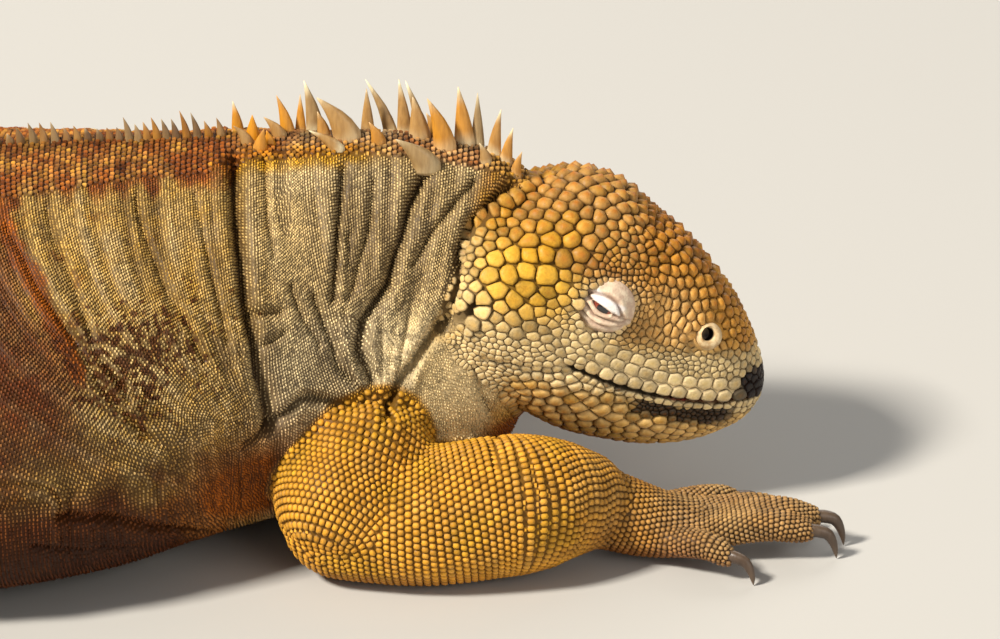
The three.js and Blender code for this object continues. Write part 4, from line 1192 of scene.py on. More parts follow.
def thinned(at, gap, stretch=None):
    """Which points stay when each keeps later ones out of its gap. A stretch makes the gap lower."""
    tree, kept = tree_of(at), np.ones(len(at), bool)
    stretch = np.ones(len(at)) if stretch is None else stretch
    for i, p in enumerate(np.asarray(at).tolist()):
        if kept[i]:
            for q, j, _ in tree.find_range(p, gap[i] * max(1, 1 / stretch[i])):
                if j > i and math.hypot(q[0] - p[0], q[1] - p[1], (q[2] - p[2]) * stretch[i]) < gap[i]:
                    kept[j] = False
    return kept


# %% [markdown]
# ## Head plates
# The size of a head scale depends on where it sits: 6 mm plates on the cheek, cones of 5 mm on the crown,
# grains under 2 mm above the eye and behind the jaw. Roots are scattered with a distance that follows a short
# list of sizes, then eased apart, and each plate grows until it meets its neighbours. That gives the
# irregular mosaic of the real head, which no regular grid would.

# %% Sizes of the head scales
# x, side and z in the head's frame, pitch, how much longer than high, rise, how pointed
HEAD_SCALES = np.array([
    (20, 8, 36, 5.6, 1, 2.1, 1), (6, 14, 29, 5.4, 1, 1.9, 0.9), (33, 8, 36, 5, 1, 2, 1),
    (22, 26, 25, 5.6, 1, 1.9, 0.8),
    (-6, 20, 20, 3.8, 1, 1.1, 0.5), (-12, 30, 4, 2.2, 1, 0.6, 0.2), (10, 27, 24, 5.8, 1.1, 1.7, 0.6),
    (14, 33, 16, 7.4, 1.15, 1.2, 0.1), (4, 36, 11, 6.2, 1.1, 1, 0.1), (24, 33, 9, 5, 1.25, 0.9, 0.1),
    (11, 38, 1, 5.4, 1.15, 0.9, 0.1), (2, 38, -2, 4.6, 1.05, 0.9, 0.1), (20, 35, -1, 4.4, 1.35, 0.7, 0.1),
    (35, 28, 22, 1.9, 1, 0.7, 0.6), (42, 26, 20, 1.8, 1, 0.7, 0.6), (40, 20, 29, 3, 1, 1.1, 1),
    (49, 26, 10, 1.7, 0.8, 0.5, 0.4), (54, 24, 8, 2.4, 0.6, 0.9, 0.6), (58, 22, 6, 2.8, 0.55, 1, 0.6),
    (27, 32, 15, 2.4, 1.2, 0.6, 0.3), (25, 33, 5, 1.8, 1.2, 0.4, 0.1), (37, 31, -2, 1.7, 1.3, 0.35, 0.1),
    (50, 14, 27, 4, 1, 1.5, 0.9), (60, 8, 25, 4.4, 1, 1.6, 0.9), (72, 6, 18, 4.2, 1, 1.5, 0.8),
    (62, 18, 13, 3.6, 0.7, 1.3, 0.7), (84, 9, 4, 2.8, 1, 1, 0.4), (88, 4, 2, 3, 1, 0.9, 0.4),
    (82, 13, -4, 2.6, 1, 0.7, 0.2),
    (30, 34, -7, 3.6, 1.3, 0.5, 0.1), (46, 30, -3, 2.4, 1.5, 0.45, 0.1), (56, 27, -4, 2.4, 1.5, 0.45, 0.1),
    (66, 23, -5, 2.2, 1.4, 0.45, 0.1), (76, 18, -4, 2.2, 1.2, 0.45, 0.1),
    (5, 40, -12, 2.2, 1.2, 0.45, 0.1), (20, 38, -11, 3, 1.5, 0.5, 0.1), (-8, 37, -16, 1.6, 1, 0.4, 0.1),
    (14, 37, -19, 2.6, 1.5, 0.6, 0.1), (22, 35, -24, 4.6, 1.4, 1.2, 0.5), (34, 33, -26, 5.8, 1.35, 1.6, 0.6),
    (50, 28, -29, 6, 1.35, 1.6, 0.6), (66, 22, -30, 5.4, 1.35, 1.4, 0.5), (80, 15, -30, 4, 1.3, 1, 0.3),
    (10, 34, -29, 2, 1.2, 0.5, 0.2), (0, 34, -26, 1.6, 1, 0.4, 0.1), (50, 8, -44, 3.4, 1.3, 0.8, 0.3),
    (20, 10, -38, 2.6, 1.2, 0.6, 0.2), (64, 24, -20.5, 1.7, 1.3, 0.35, 0.1),
    (80, 17, -20.5, 1.7, 1.3, 0.35, 0.1),
    (93, 5, -10, 3, 1, 0.4, 0), (92, 6, -22, 2.6, 1, 0.5, 0.1),
])


def head_sizes(local):
    """Pitch, stretch, rise and pointedness at places of the head, from the nearest rows of the list."""
    sided = np.stack([local[:, 0], np.abs(local[:, 1]), local[:, 2]], -1)
    far = ((sided[:, None] - HEAD_SCALES[None, :, :3]) ** 2).sum(-1)
    weight = 1 / (far + 4) ** 2
    return ((weight[..., None] * HEAD_SCALES[None, :, 3:]).sum(1) / weight.sum(1, keepdims=True)).T


# %% Rows along the lips
def lip_row(above, pitch, start, end):
    """Roots in a row at a height above the line of the mouth, on both sides, in millimetres of the head."""
    x = np.arange(start, end, pitch)
    z = column(MOUTH, 1, x * MM) / MM + above
    return np.concatenate([np.stack([x, side * np.full_like(x, 40), z], -1) for side in (-1, 1)])


# height above the mouth, pitch along it, from, to, height of the scale; the last row keeps the slit itself
# free
LIP_ROWS = [(2.8, 5.1, 40, 93, 4.3), (7, 5.1, 42.5, 92, 4.1), (10.8, 4.9, 34, 62, 3.6),
            (-2, 3.4, 42, 93, 1.7),
            (0, 1.6, 30, 97, 1.7)]
lip_roots = [lip_row(*row[:4]) for row in LIP_ROWS]
row_of = np.repeat(np.arange(len(LIP_ROWS)), [len(at) for at in lip_roots])
lip_long = np.array([row[1] for row in LIP_ROWS], float)[row_of]
lip_stretch = np.array([row[1] / row[4] for row in LIP_ROWS])[row_of]
in_slit = row_of == len(LIP_ROWS) - 1
lip_roots = np.concatenate(lip_roots)


def cast_to_head(local):
    """Moves points of the head's frame, in mm, sideways onto the resting skin."""
    placed = []
    for p, side in zip(from_head(local * MM), np.sign(local[:, 1])):
        hit = skin_tree.ray_cast(Vector(p), Vector((0, -side, 0)))
        placed.append(hit[0][:] if hit[0] else p)
    return np.array(placed)


# %% Scatter and ease the head roots
def scattered(local_ok, count):
    """Random places all over the part of the skin where local_ok holds."""
    corners = rest[rest_faces]
    middle = corners.mean(1)
    chosen = np.nonzero(local_ok(middle))[0]
    first = corners[chosen, 0]
    area = np.linalg.norm(np.cross(corners[chosen, 1] - first, corners[chosen, 2] - first), axis=1)
    pick = chosen[chance.choice(len(chosen), count, p=area / area.sum())]
    a, b = chance.random((2, count, 1))
    flip = a + b > 1
    a, b = np.where(flip, 1 - a, a), np.where(flip, 1 - b, b)
    c = corners[pick]
    return c[:, 0] + a * (c[:, 1] - c[:, 0]) + b * (c[:, 2] - c[:, 0])


def kept_clear(at):
    """Where no scale may grow: over the lids, nostrils, ears and the slit of the mouth."""
    local = to_head(at) / MM
    hx, hy, hz = local[:, 0], np.abs(local[:, 1]), local[:, 2]
    eye = np.sqrt((hx - EYE["x"]) ** 2 + (hz - EYE["z"]) ** 2 + (np.minimum(hy - 20, 0)) ** 2)
    nose = np.sqrt((hx - NOSTRIL["x"]) ** 2 + (hz - NOSTRIL["z"]) ** 2 + (np.minimum(hy - 9, 0)) ** 2)
    ear = line_distance(np.stack([hx, hz], -1), EAR_PIT) + 40 * (hy < 25)
    mouth = np.abs(gap_over_mouth(local)) + 9 * soft(hx, 36, 30)
    return (eye < 9.2) | (nose < 5) | (ear < 2.4) | (mouth < 0.7)


def head_room(at):
    """Where head scales grow: on the form of the head, up to a border behind the jaw."""
    local = to_head(at) / MM
    clear = (local[:, 0] > -13 + 8 * soft(local[:, 2], -8, -20)) & ~kept_clear(at)
    clear[clear] = beyond(head_tree, at[clear]) < 3
    return clear


HEAD_TRIES = 60000
tries = scattered(head_room, HEAD_TRIES)
tries_local = to_head(tries) / MM
pitch, stretch, _, _ = head_sizes(tries_local)
lips = cast_to_head(lip_roots)
lip_count = len(lips)


def nearest_roots(at, roots, count):
    """The few roots nearest to each place."""
    tree = tree_of(roots)
    return np.array([[hit[1] for hit in tree.find_n(p, count)] for p in at.tolist()])


roots = np.concatenate([to_head(lips) / MM, tries_local])
sizes = np.concatenate([lip_long, pitch])
spread = np.concatenate([lip_stretch, stretch])
in_slit = np.concatenate([in_slit, np.zeros(len(tries), bool)])
kept = thinned(roots, sizes * 0.78, spread)
kept[:lip_count] = True
roots, sizes, spread, in_slit = roots[kept], sizes[kept], spread[kept], in_slit[kept]
EASING_ROUNDS = 3
for _ in range(EASING_ROUNDS):
    near = nearest_roots(tries_local, roots, 8)
    gap = tries_local[:, None] - roots[near]
    gap[..., 2] *= spread[near]
    owner = near[np.arange(len(near)), np.argmin(np.linalg.norm(gap, axis=2) / sizes[near], axis=1)]
    total = np.bincount(owner, minlength=len(roots))
    for k in range(3):
        mean = np.bincount(owner, tries_local[:, k], len(roots)) / np.maximum(total, 1)
        free = (total > 0) & (np.arange(len(roots)) >= lip_count)
        roots[free, k] = mean[free]
head_at, head_up = on_skin(from_head(roots * MM))
head_local = to_head(head_at) / MM
_, _, head_rise, head_point_share = head_sizes(head_local)
print(len(roots), "head roots,", lip_count, "of them along the lips")

# %% Outlines that meet their neighbours
def outlines(at, up, ahead, size, stretch, sides, seam, reach=12, round_off=8, widest=0.62):
    """Radii in metres of each plate towards its sides, out to where it meets its neighbours, less a seam.

    A high round_off gives sharper corners, and no radius is over the widest share of a plate's size.
    """
    left = np.cross(up, ahead)
    near = nearest_roots(at, at, reach + 1)[:, 1:]
    gap = at[near] - at[:, None]
    a = (gap * ahead[:, None]).sum(-1)
    b = (gap * left[:, None]).sum(-1) * stretch[:, None]
    far = np.hypot(a, b) + 1e-9
    meet = far * size[:, None] / (size[:, None] + size[near])
    angle = np.arange(sides) * 2 * np.pi / sides
    warped = np.arctan2(np.sin(angle) * stretch[:, None], np.cos(angle) * np.ones_like(stretch)[:, None])
    toward = a[..., None] * np.cos(warped)[:, None] + b[..., None] * np.sin(warped)[:, None]
    toward /= far[..., None]
    pull_in = (np.maximum(toward, 0) / meet[..., None]) ** round_off
    radius = (pull_in.sum(1) + (widest * size[:, None]) ** -round_off) ** (-1 / round_off)
    length = np.hypot(np.cos(warped), np.sin(warped) / stretch[:, None])
    return np.maximum(radius * length - seam, 0.2 * size[:, None] / np.maximum(stretch, 1)[:, None])


def forward_on(up, way):
    """The part of a direction that lies along the skin, as unit vectors."""
    flat = way - up * (way * up).sum(-1, keepdims=True)
    return flat / (np.linalg.norm(flat, axis=-1, keepdims=True) + 1e-9)


def way_of_head(way):
    """A direction of the head's frame in the model's."""
    return from_head(np.array(way, float) * MM) - from_head(np.zeros(3))


def unrolled(at, start, length, axis_z):
    """Flat places for the bake, from 0 to 1, of points unrolled round a lengthwise axis."""
    return np.stack([(at[:, 0] - start) / length, 0.5 + np.arctan2(at[:, 1], at[:, 2] - axis_z) / 6.4], -1)


head_ahead = forward_on(head_up, np.broadcast_to(way_of_head((1, 0, 0)) / MM, head_up.shape))
head_radii = outlines(head_at, head_up, head_ahead, sizes * MM, spread, sides=12, seam=0.085 * MM, reach=14,
                      round_off=18, widest=0.85)
head_tone = chance.random(len(head_at))
head_moved = head_at + head_up * skin_moves(head_at, head_up)[:, None]
head_unwrap = unrolled(head_local, -20, 125, -8)
head_marks = markings(head_at)
coat = []
for name, chosen in (("head_plates_right", head_local[:, 1] < 0),
("head_plates_left", head_local[:, 1] >= 0)):
    chosen = chosen & ~in_slit
    coat.append(plates(
        name, head_moved[chosen], head_up[chosen], head_ahead[chosen], head_radii[chosen],
        head_rise[chosen] * MM, head_marks[chosen], head_tone[chosen], head_unwrap[chosen],
        shares=(1, 0.93, 0.62),
        lifts=(-0.7, 0.66, 0.96, 1), pointed=head_point_share[chosen], cone_lifts=(-0.7, 0.14, 0.52, 1.12)))

# %% Dark edge of the upper lip
SOOT_CHANNEL = PAINTS.index("soot") - 4
for piece in coat:
    lip_at = to_head(places(piece.data)) / MM
    gap = gap_over_mouth(lip_at)
    edge = soft(gap, 1.6, 0.9) * soft(gap, -1, -0.6) * soft(lip_at[:, 0], 47, 54) * soft(lip_at[:, 0], 92, 88)
    stored = np.empty(4 * len(gap), np.float32)
    piece.data.attributes["paint_b"].data.foreach_get("color", stored)
    stored = stored.reshape(-1, 4)
    stored[:, SOOT_CHANNEL] = np.maximum(stored[:, SOOT_CHANNEL], 0.85 * edge)
    piece.data.attributes["paint_b"].data.foreach_set("color", stored.ravel())

# %% [markdown]
# ## Limb scales
# The limbs carry keeled grains of 2 to 3 mm in rings, each with its rear edge raised over the next. Rings are
# laid round each length of limb, the roots that fall inside another form are dropped, and the rest become
# domed plates.

# %% Rings of roots round the limbs
def limb_rings(limb, pitch):
    """Roots in offset rings round a limb, and the way each scale points."""
    at, way = [], []
    for k, reach in enumerate(np.arange(pitch * 0.4, limb.whole, pitch * 0.87)):
        ring = limb.point(np.full(64, reach), np.linspace(0, 2 * np.pi, 65)[:-1])
        round_length = np.linalg.norm(np.diff(np.vstack([ring, ring[:1]]), axis=0), axis=1).sum()
        count = max(3, round(round_length / pitch))
        angle = (np.arange(count) + 0.5 * (k % 2)) / count * 2 * np.pi
        here = limb.point(np.full(count, reach), angle)
        at.append(here)
        way.append(limb.point(np.full(count, min(reach + 1e-3, limb.whole)), angle) - here)
    return np.concatenate(at), np.concatenate(way)


# roots that lie further than this from the one skin are inside another form
FAR_FROM_SKIN = 1.6 * MM
LIMB_PITCH = {"upper": 2.3, "lower": 2.35, "palm": 2.1, "digit": 1.8}
limb_at, limb_way, limb_pitch, limb_band = [], [], [], []
for index, (name, limb) in enumerate(limb_runs.items()):
    part = name.rsplit("_", 1)[1].rstrip("01234")
    pitch = LIMB_PITCH[part] * (1.15 if name.startswith("hind") else 1) * MM
    at, way = limb_rings(limb, pitch)
    limb_at.append(at)
    limb_way.append(way)
    limb_pitch.append(np.full(len(at), pitch))
    limb_band.append(np.full(len(at), index))
limb_at, limb_way, limb_pitch, limb_band = map(np.concatenate, (limb_at, limb_way, limb_pitch, limb_band))
place, up = on_skin(limb_at)
near = np.linalg.norm(place - limb_at, axis=1) < np.maximum(FAR_FROM_SKIN, 0.6 * limb_pitch)
limb_at, limb_up, limb_way, limb_pitch, limb_band = (
    values[near] for values in (place, up, limb_way, limb_pitch, limb_band))
kept = thinned(limb_at, limb_pitch * 0.62) & ~head_room(limb_at)
limb_at, limb_up, limb_way, limb_pitch, limb_band = (
    values[kept] for values in (limb_at, limb_up, limb_way, limb_pitch, limb_band))
limb_ahead = forward_on(limb_up, limb_way)
print(len(limb_at), "limb roots")

# %% Limb plates
LIMB_RISE = 0.24
ones = np.ones(len(limb_at))
limb_radii = outlines(limb_at, limb_up, limb_ahead, limb_pitch, ones, sides=8, seam=0.08 * MM, reach=9,
                      round_off=12, widest=0.68)
limb_moved = limb_at + limb_up * skin_moves(limb_at, limb_up)[:, None]
limb_marks, limb_tone = markings(limb_at), chance.random(len(limb_at))
limb_unwrap = np.stack([(limb_at[:, 0] + 0.28) / 0.6, 0.5 + limb_at[:, 1] / 0.6], -1)
for leg in LEGS:
    chosen = np.array([name.startswith(leg) for name in limb_runs])[limb_band]
    coat.append(plates(
        f"{leg}_scales", limb_moved[chosen], limb_up[chosen], limb_ahead[chosen], limb_radii[chosen],
        limb_pitch[chosen] * LIMB_RISE, limb_marks[chosen], limb_tone[chosen], limb_unwrap[chosen],
        shares=(1, 0.72), lifts=(-0.5, 0.75, 1), tilt=0.16))

# %% [markdown]
# ## Beads of the trunk and rings of the tail
# The flank is covered with tiny beads in rows that run down from the ridge and are drawn to the armpit with
# the pleats. On the belly and tail they grow into larger plates set in rings. Rows are laid out along the
# same pull as the pleats, so beads string along each pleat as in life. At this size a bead needs only six
# triangles.

# %% Rows of roots down the trunk
# x, pitch at the ridge and flank, pitch on the belly
BEADS = table([(-820, 2.4, 2.4), (-500, 3.4, 3.4), (-300, 3.4, 3.4), (-230, 2.4, 3), (-120, 1.8, 2.6),
               (0, 1.2, 2),
               (60, 1.02, 1.6), (130, 1.02, 1.4), (186, 1.05, 1.3)])
# coarse grains line the crest and band the back
COARSE = table([(-820, 2, 2), (186, 2, 2)])


def crest_room(at):
    """Where the coarse grains grow."""
    x, down = at[:, 0] / MM, (column(TRUNK, 1, at[:, 0]) - at[:, 2]) / MM
    deep = np.where(x > 84, 5, 6.4 + 1.6 * soft(x, 70, 5))
    return (x > -200) & (x < 183) & (down < deep + 0.5 * clouds(at / MM, 9, 21))


def trunk_rows(pitches_at):
    """Roots row by row from the neck back, and the pitch at each, from rows of x, flank and belly pitch."""
    at, pitches = [], []
    x, row = TRUNK_START_X + 110 * MM, 0
    while x > TRUNK_START_X - SPINE_LENGTH + 2 * MM:
        angle = np.linspace(0, np.pi, 260)
        here = np.full(angle.shape, x)
        for _ in range(6):
            _, z = section(TRUNK, here, angle, -SKIN_DEPTH)
            here = pulled(x / MM, z / MM) * MM
        angle, here = angle[here < TRUNK_START_X - 1 * MM], here[here < TRUNK_START_X - 1 * MM]
        if len(here) < 2:
            x -= column(pitches_at, 1, x) * 0.87
            continue
        line = trunk_point(TRUNK_START_X - here, angle, -SKIN_DEPTH)
        run = np.concatenate([[0], np.cumsum(np.linalg.norm(np.diff(line, axis=0), axis=1))])
        flank, belly = column(pitches_at, 1, x), column(pitches_at, 2, x)
        density = 1 / (flank + (belly - flank) * soft(angle, 1.7, 2.5))
        filled = np.concatenate([[0], np.cumsum(np.diff(run) * (density[1:] + density[:-1]) / 2)])
        steps = np.arange(0.5 * (row % 2), filled[-1], 1)
        where = np.stack([np.interp(steps, filled, line[:, k]) for k in range(3)], -1)
        step_angle = np.interp(steps, filled, angle)
        other = trunk_point(TRUNK_START_X - np.interp(steps, filled, here), -step_angle, -SKIN_DEPTH)
        size = 1 / np.interp(steps, filled, density)
        at += [where, other[step_angle > 1e-6]]
        pitches += [size, size[step_angle > 1e-6]]
        spread_out = pulled(x / MM, ARMPIT_Z) - pulled(x / MM - 1, ARMPIT_Z)
        x -= flank * 0.87 / max(1, spread_out)
        row += 1
    return np.concatenate(at), np.concatenate(pitches)


fine_at, fine_pitch = trunk_rows(BEADS)
coarse_at, coarse_pitch = trunk_rows(COARSE)
off_crest, on_crest = ~crest_room(fine_at), crest_room(coarse_at)
bead_at = np.concatenate([coarse_at[on_crest], fine_at[off_crest]])
bead_pitch = np.concatenate([coarse_pitch[on_crest], fine_pitch[off_crest]])
place, _ = on_skin(bead_at)
away = np.linalg.norm(place - bead_at, axis=1)
ok = (away < np.maximum(FAR_FROM_SKIN, 0.5 * bead_pitch)) & ~head_room(place)
bead_at, bead_pitch = place[ok], bead_pitch[ok]
joint_at = np.concatenate([limb_at, bead_at])
joint_gap = np.concatenate([limb_pitch * 0.55, bead_pitch * 0.66])
kept = thinned(joint_at, joint_gap)[len(limb_at):]
bead_at, bead_pitch = bead_at[kept], bead_pitch[kept]
bead_at += chance.uniform(-0.1, 0.1, bead_at.shape) * bead_pitch[:, None]
print(len(bead_at), "trunk and tail roots")

# %% Grains in the spots that stayed bare
SPOT_TRIES = 90000
rooted = tree_of(np.concatenate([head_at, limb_at, bead_at]))


def grain_pitch(at):
    """Pitch of the grains that fill bare spots: small on the trunk, larger on limbs and along the crest."""
    pitch = np.where(crest_room(at), 1.9 * MM, column(BEADS, 1, at[:, 0]))
    return np.where(beyond(limb_tree, at) < 2, 2 * MM, pitch)


def still_bare(at):
    """Where the nearest root is more than a pitch away and scales may grow."""
    far = np.array([rooted.find(p)[2] for p in at.tolist()])
    return (far > 0.95 * grain_pitch(at)) & ~kept_clear(at) & ~head_room(at)


spots = scattered(still_bare, SPOT_TRIES)
spots = spots[still_bare(spots)]
spots = spots[thinned(spots, 0.82 * grain_pitch(spots))]
place, _ = on_skin(spots)
bead_at = np.concatenate([bead_at, place])
bead_pitch = np.concatenate([bead_pitch, grain_pitch(place)])
print(len(spots), "grains in bare spots")

# %% Beads
bead_turn = np.interp(bead_at[:, 0], spine_x[::-1], spine_turn[::-1])
backward = np.stack([-np.cos(bead_turn), np.sin(bead_turn), 0 * bead_turn], -1)
bead_moved, bead_up = on_moved_skin(bead_at)
bead_ahead = forward_on(bead_up, backward)
bead_marks = markings(bead_at)
bead_tone = chance.random(len(bead_at))
bead_unwrap = unrolled(bead_at, -0.82, 1.05, 0.05)
x, y = bead_at[:, 0] / MM, bead_at[:, 1]
banded = crest_room(bead_at)
small = ~banded
TAIL_FROM = -240
zones = {"back_grains": banded}
for name, rear, front in (("neck", 88, np.inf), ("shoulder", 20, 88), ("flank", TAIL_FROM, 20)):
    chosen = small & (x > rear) & (x <= front)
    zones |= {f"{name}_beads_right": chosen & (y < 0), f"{name}_beads_left": chosen & (y >= 0)}
# a bead's height as a share of its pitch, and the most it may be
BEAD_RISE = 0.48
HIGHEST_BEAD = 0.62 * MM
for name, chosen in zones.items():
    radii = np.repeat(bead_pitch[chosen, None] * 0.52, 6, axis=1)
    rise = np.minimum(bead_pitch[chosen] * BEAD_RISE, HIGHEST_BEAD)
    rings = {"lifts": (-0.5, 1)}
    if name == "back_grains":
        rings = {"shares": (1, 0.66), "lifts": (-0.4, 0.8, 1.05)}
    coat.append(plates(name, bead_moved[chosen], bead_up[chosen], bead_ahead[chosen], radii, rise,
                       bead_marks[chosen], bead_tone[chosen], bead_unwrap[chosen], **rings))
tail = x <= TAIL_FROM
tail_radii = outlines(bead_at[tail], bead_up[tail], bead_ahead[tail], bead_pitch[tail], np.ones(tail.sum()),
                      sides=8, seam=0.12 * MM, reach=9)
TAIL_RISE = 0.2
coat.append(plates("tail_rings", bead_moved[tail], bead_up[tail], bead_ahead[tail], tail_radii,
                   bead_pitch[tail] * TAIL_RISE, bead_marks[tail], bead_tone[tail], bead_unwrap[tail],
                   shares=(1, 0.72), lifts=(-0.4, 0.75, 1), tilt=0.18))

# %% [markdown]
# ## Eyes, lids and nostrils
# The eye is nearly shut between two swollen white lids with curved creases, which are darkened as painted
# shade, as is the inner edge of the lids by the slit, and the nostril is a pale tube whose hole is painted
# black as its shade. Rings of a cylinder bent to a profile round an axis make both, since each is a round
# form with lips, and the profile can change with the angle, which a plain spin can't do.

# %% Eyeballs
EYE_AXIS = {side: np.array([-0.13, side * 0.98, 0.07]) for side in (-1, 1)}
LID_AXIS = {side: np.array([0, side, 0.05]) for side in (-1, 1)}
SLANT = 15


def turned_axes(side, axis, slant):
    """Unit axes of the world: out of the head, along a line that slants down ahead, and up across it."""
    out = way_of_head(axis)
    out /= np.linalg.norm(out)
    c, s = math.cos(math.radians(slant)), math.sin(math.radians(slant))
    along = forward_on(out[None], way_of_head((c, 0, -s))[None])[0]
    return out, along, np.cross(along, out) * side


eyes = bmesh.new()
for side, centre in eye_centres.items():
    out, along, across = turned_axes(side, EYE_AXIS[side], SLANT)
    ball = bmesh.new()
    bmesh.ops.create_uvsphere(ball, u_segments=48, v_segments=32, radius=(EYE["radius"] + 0.4) * MM)
    turn = Matrix(np.stack([along, across * side, out], 1).tolist()).to_4x4()
    turn.translation = Vector(centre)
    bmesh.ops.transform(ball, matrix=turn, verts=ball.verts)
    pour(eyes, ball)
bmesh.ops.recalc_face_normals(eyes, faces=eyes.faces)
eyes = mesh_object("eyes", eyes)

# %% Lids
lid_parts = bmesh.new()
# the opening between the lids, in millimetres: along it, its place, and how far it opens
SLIT = {"half_length": 4.2, "forward": -1.9, "up": 0.4, "above": 0.5, "below": 1.9}
LID_RIM_ANGLE = math.radians(66)
# radius of the lids round the eye's centre, as drawn and at the edge of the slit
LID_RADIUS, LID_EDGE = 10.6, 8.9
# depth and half width of each crease, then places along the slit and above it, in millimetres
LID_CREASES = [
    (1, 0.5, [(-8.6, 1), (-6.6, 3), (-3.6, 4.5), (-0.8, 5), (1.7, 4.7), (3.8, 3.2), (6, 1.2)]),
    (0.9, 0.45, [(-6.8, -2.2), (-2.8, -3.9), (1.7, -3), (5.8, -1.4), (8, -0.2)]),
    (0.6, 0.45, [(-6.4, -5), (-0.9, -6.3), (5, -4.7), (8.8, -1.4)]),
    (0.8, 0.4, [(-9, 0.5), (-6, 0.4)]), (0.8, 0.4, [(2.2, 0.4), (9, 0.7)]),
]
for side, centre in eye_centres.items():
    out, along, across = turned_axes(side, LID_AXIS[side], SLANT)

    def lid(share, angle):
        """Both lids: from inside the slit, over its rolled rim, out to the ring where they meet the head."""
        t = np.clip(share * 1.15 - 0.15, -0.15, 1)
        over = np.clip(t, 0, 1)
        slit_u = SLIT["forward"] + SLIT["half_length"] * np.cos(angle) * (1 - 0.25 * np.minimum(t, 0))
        opening = np.where(np.sin(angle) > 0, SLIT["above"], SLIT["below"])
        slit_v = SLIT["up"] + opening * np.sin(angle) * np.abs(np.sin(angle)) ** 0.3
        rim = LID_RADIUS * np.sin(LID_RIM_ANGLE)
        u = slit_u * (1 - over) + rim * np.cos(angle) * over
        v = slit_v * (1 - over) + rim * np.sin(angle) * over
        radius = LID_EDGE + 1.5 * over**0.6 + 0.35 * hump(t - 0.06, 0.06)
        radius += 0.5 * bump_at(np.stack([v, u], -1), (2.6, -1), (1.5, 5))
        for depth, half, line in LID_CREASES:
            far = line_distance(np.stack([u, v], -1), line)
            radius -= depth * hump(far, half) * soft(t, 0.03, 0.1)
            radius += 0.25 * depth * hump(far - 1.3, 0.7) * soft(t, 0.03, 0.1)
        radius = np.where(t < 0, LID_EDGE + t * 10, radius)
        tilt = np.minimum(np.hypot(u, v) / LID_RADIUS, 0.985)
        outward = np.sqrt(1 - tilt**2)
        in_plane = (u * radius / LID_RADIUS)[:, None] * along + (v * radius / LID_RADIUS)[:, None] * across
        return centre + MM * (in_plane + (outward * radius)[:, None] * out)

    pour(lid_parts, tube(84, 60, lid))
lids = mesh_object("eyelids", lid_parts)

# %% Nostrils
NOSTRIL_AXIS = {side: (0.22, side * 0.86, 0.42) for side in (-1, 1)}
HOLE_SHIFT = (-1.1, 0.4)
# distance from the axis and height along it, from inside the hole to under the skin
NOSTRIL_PROFILE = table([(0, 0.4, -6), (0.12, 1.9, -4.5), (0.3, 2, -0.3), (0.4, 2.3, 0.9), (0.55, 3, 1.35),
                         (0.75, 4, 0.6), (0.9, 4.6, -1.2), (1, 5, -3)])
NOSTRIL_PROFILE[:, 0] /= MM
nose_parts = bmesh.new()
nose_roots = cast_to_head(np.array([(NOSTRIL["x"], side * 40, NOSTRIL["z"]) for side in (-1, 1)]))
for side, root in zip((-1, 1), nose_roots):
    out, along, across = turned_axes(side, NOSTRIL_AXIS[side], 0)
    root = root + out * 1.2 * MM

    def nostril(share, angle):
        """A rolled tube whose hole sits off its axis."""
        reach, high = (column(NOSTRIL_PROFILE, k, share) for k in (1, 2))
        inner = soft(share, 0.7, 0.4)
        shift = (HOLE_SHIFT[0] * along + HOLE_SHIFT[1] * across) * MM
        return root + ((reach * np.cos(angle))[:, None] * along + (reach * np.sin(angle))[:, None] * across
                       + high[:, None] * out + inner[:, None] * shift)

    pour(nose_parts, tube(40, 28, nostril))
nostrils = mesh_object("nostrils", nose_parts)
for piece in (eyes, lids, nostrils):
    print(f"{piece.name}: {len(piece.data.polygons)} faces")

# %% [markdown]
# ## Finishes
# Horn and skin share one way of being coloured: eight paints are laid over straw by the stored marks, the
# seam round each scale is darkened, partly as the dark skin between scales and partly as painted shade at
# its foot, its top is lightened as a painted highlight, and every scale has a tone of its own. That is one
# node group, placed in each material with its own strengths. Colours are named once, as they look on the
# animal in daylight.

# %% Node helpers
def daylight(red, green, blue):
    """A screen colour of 0 to 255 as the linear one that shaders use."""
    shares = (c / 255 for c in (red, green, blue))
    return (*(((c + 0.055) / 1.055) ** 2.4 if c > 0.04 else c / 12.92 for c in shares), 1)


PAINT_COLOURS = {
    "straw": daylight(186, 156, 98), "pale": daylight(234, 211, 163), "yellow": daylight(214, 162, 44),
    "ochre": daylight(210, 150, 48), "amber": daylight(172, 94, 22), "rust": daylight(122, 64, 28),
    "umber": daylight(44, 20, 7), "soot": daylight(34, 27, 24), "flesh": daylight(120, 30, 16),
}
# the dark skin between scales, also used as painted shade at the foot of scales, spines and claws
SEAM_AND_SHADE_COLOUR = daylight(46, 22, 4)
PEAK_COLOUR = daylight(168, 98, 34)


def add_node(tree, kind, inputs=(), **settings):
    """Adds a node, sets its properties and fills or links its inputs, given as pairs of socket and value."""
    made = tree.nodes.new(kind)
    for name, setting in settings.items():
        setattr(made, name, setting)
    for socket, value in dict(inputs).items():
        if isinstance(value, bpy.types.NodeSocket):
            tree.links.new(value, made.inputs[socket])
        else:
            made.inputs[socket].default_value = value
    return made


def mixed(tree, share, a, b, blend="MIX"):
    """The colour between a and b by a share, or their blend."""
    mix = add_node(tree, "ShaderNodeMix", {0: share, 6: a, 7: b}, data_type="RGBA", blend_type=blend)
    return mix.outputs[2]


def counted(tree, operation, *values):
    """The outcome of a sum on numbers or sockets."""
    return add_node(tree, "ShaderNodeMath", dict(enumerate(values)), operation=operation).outputs[0]


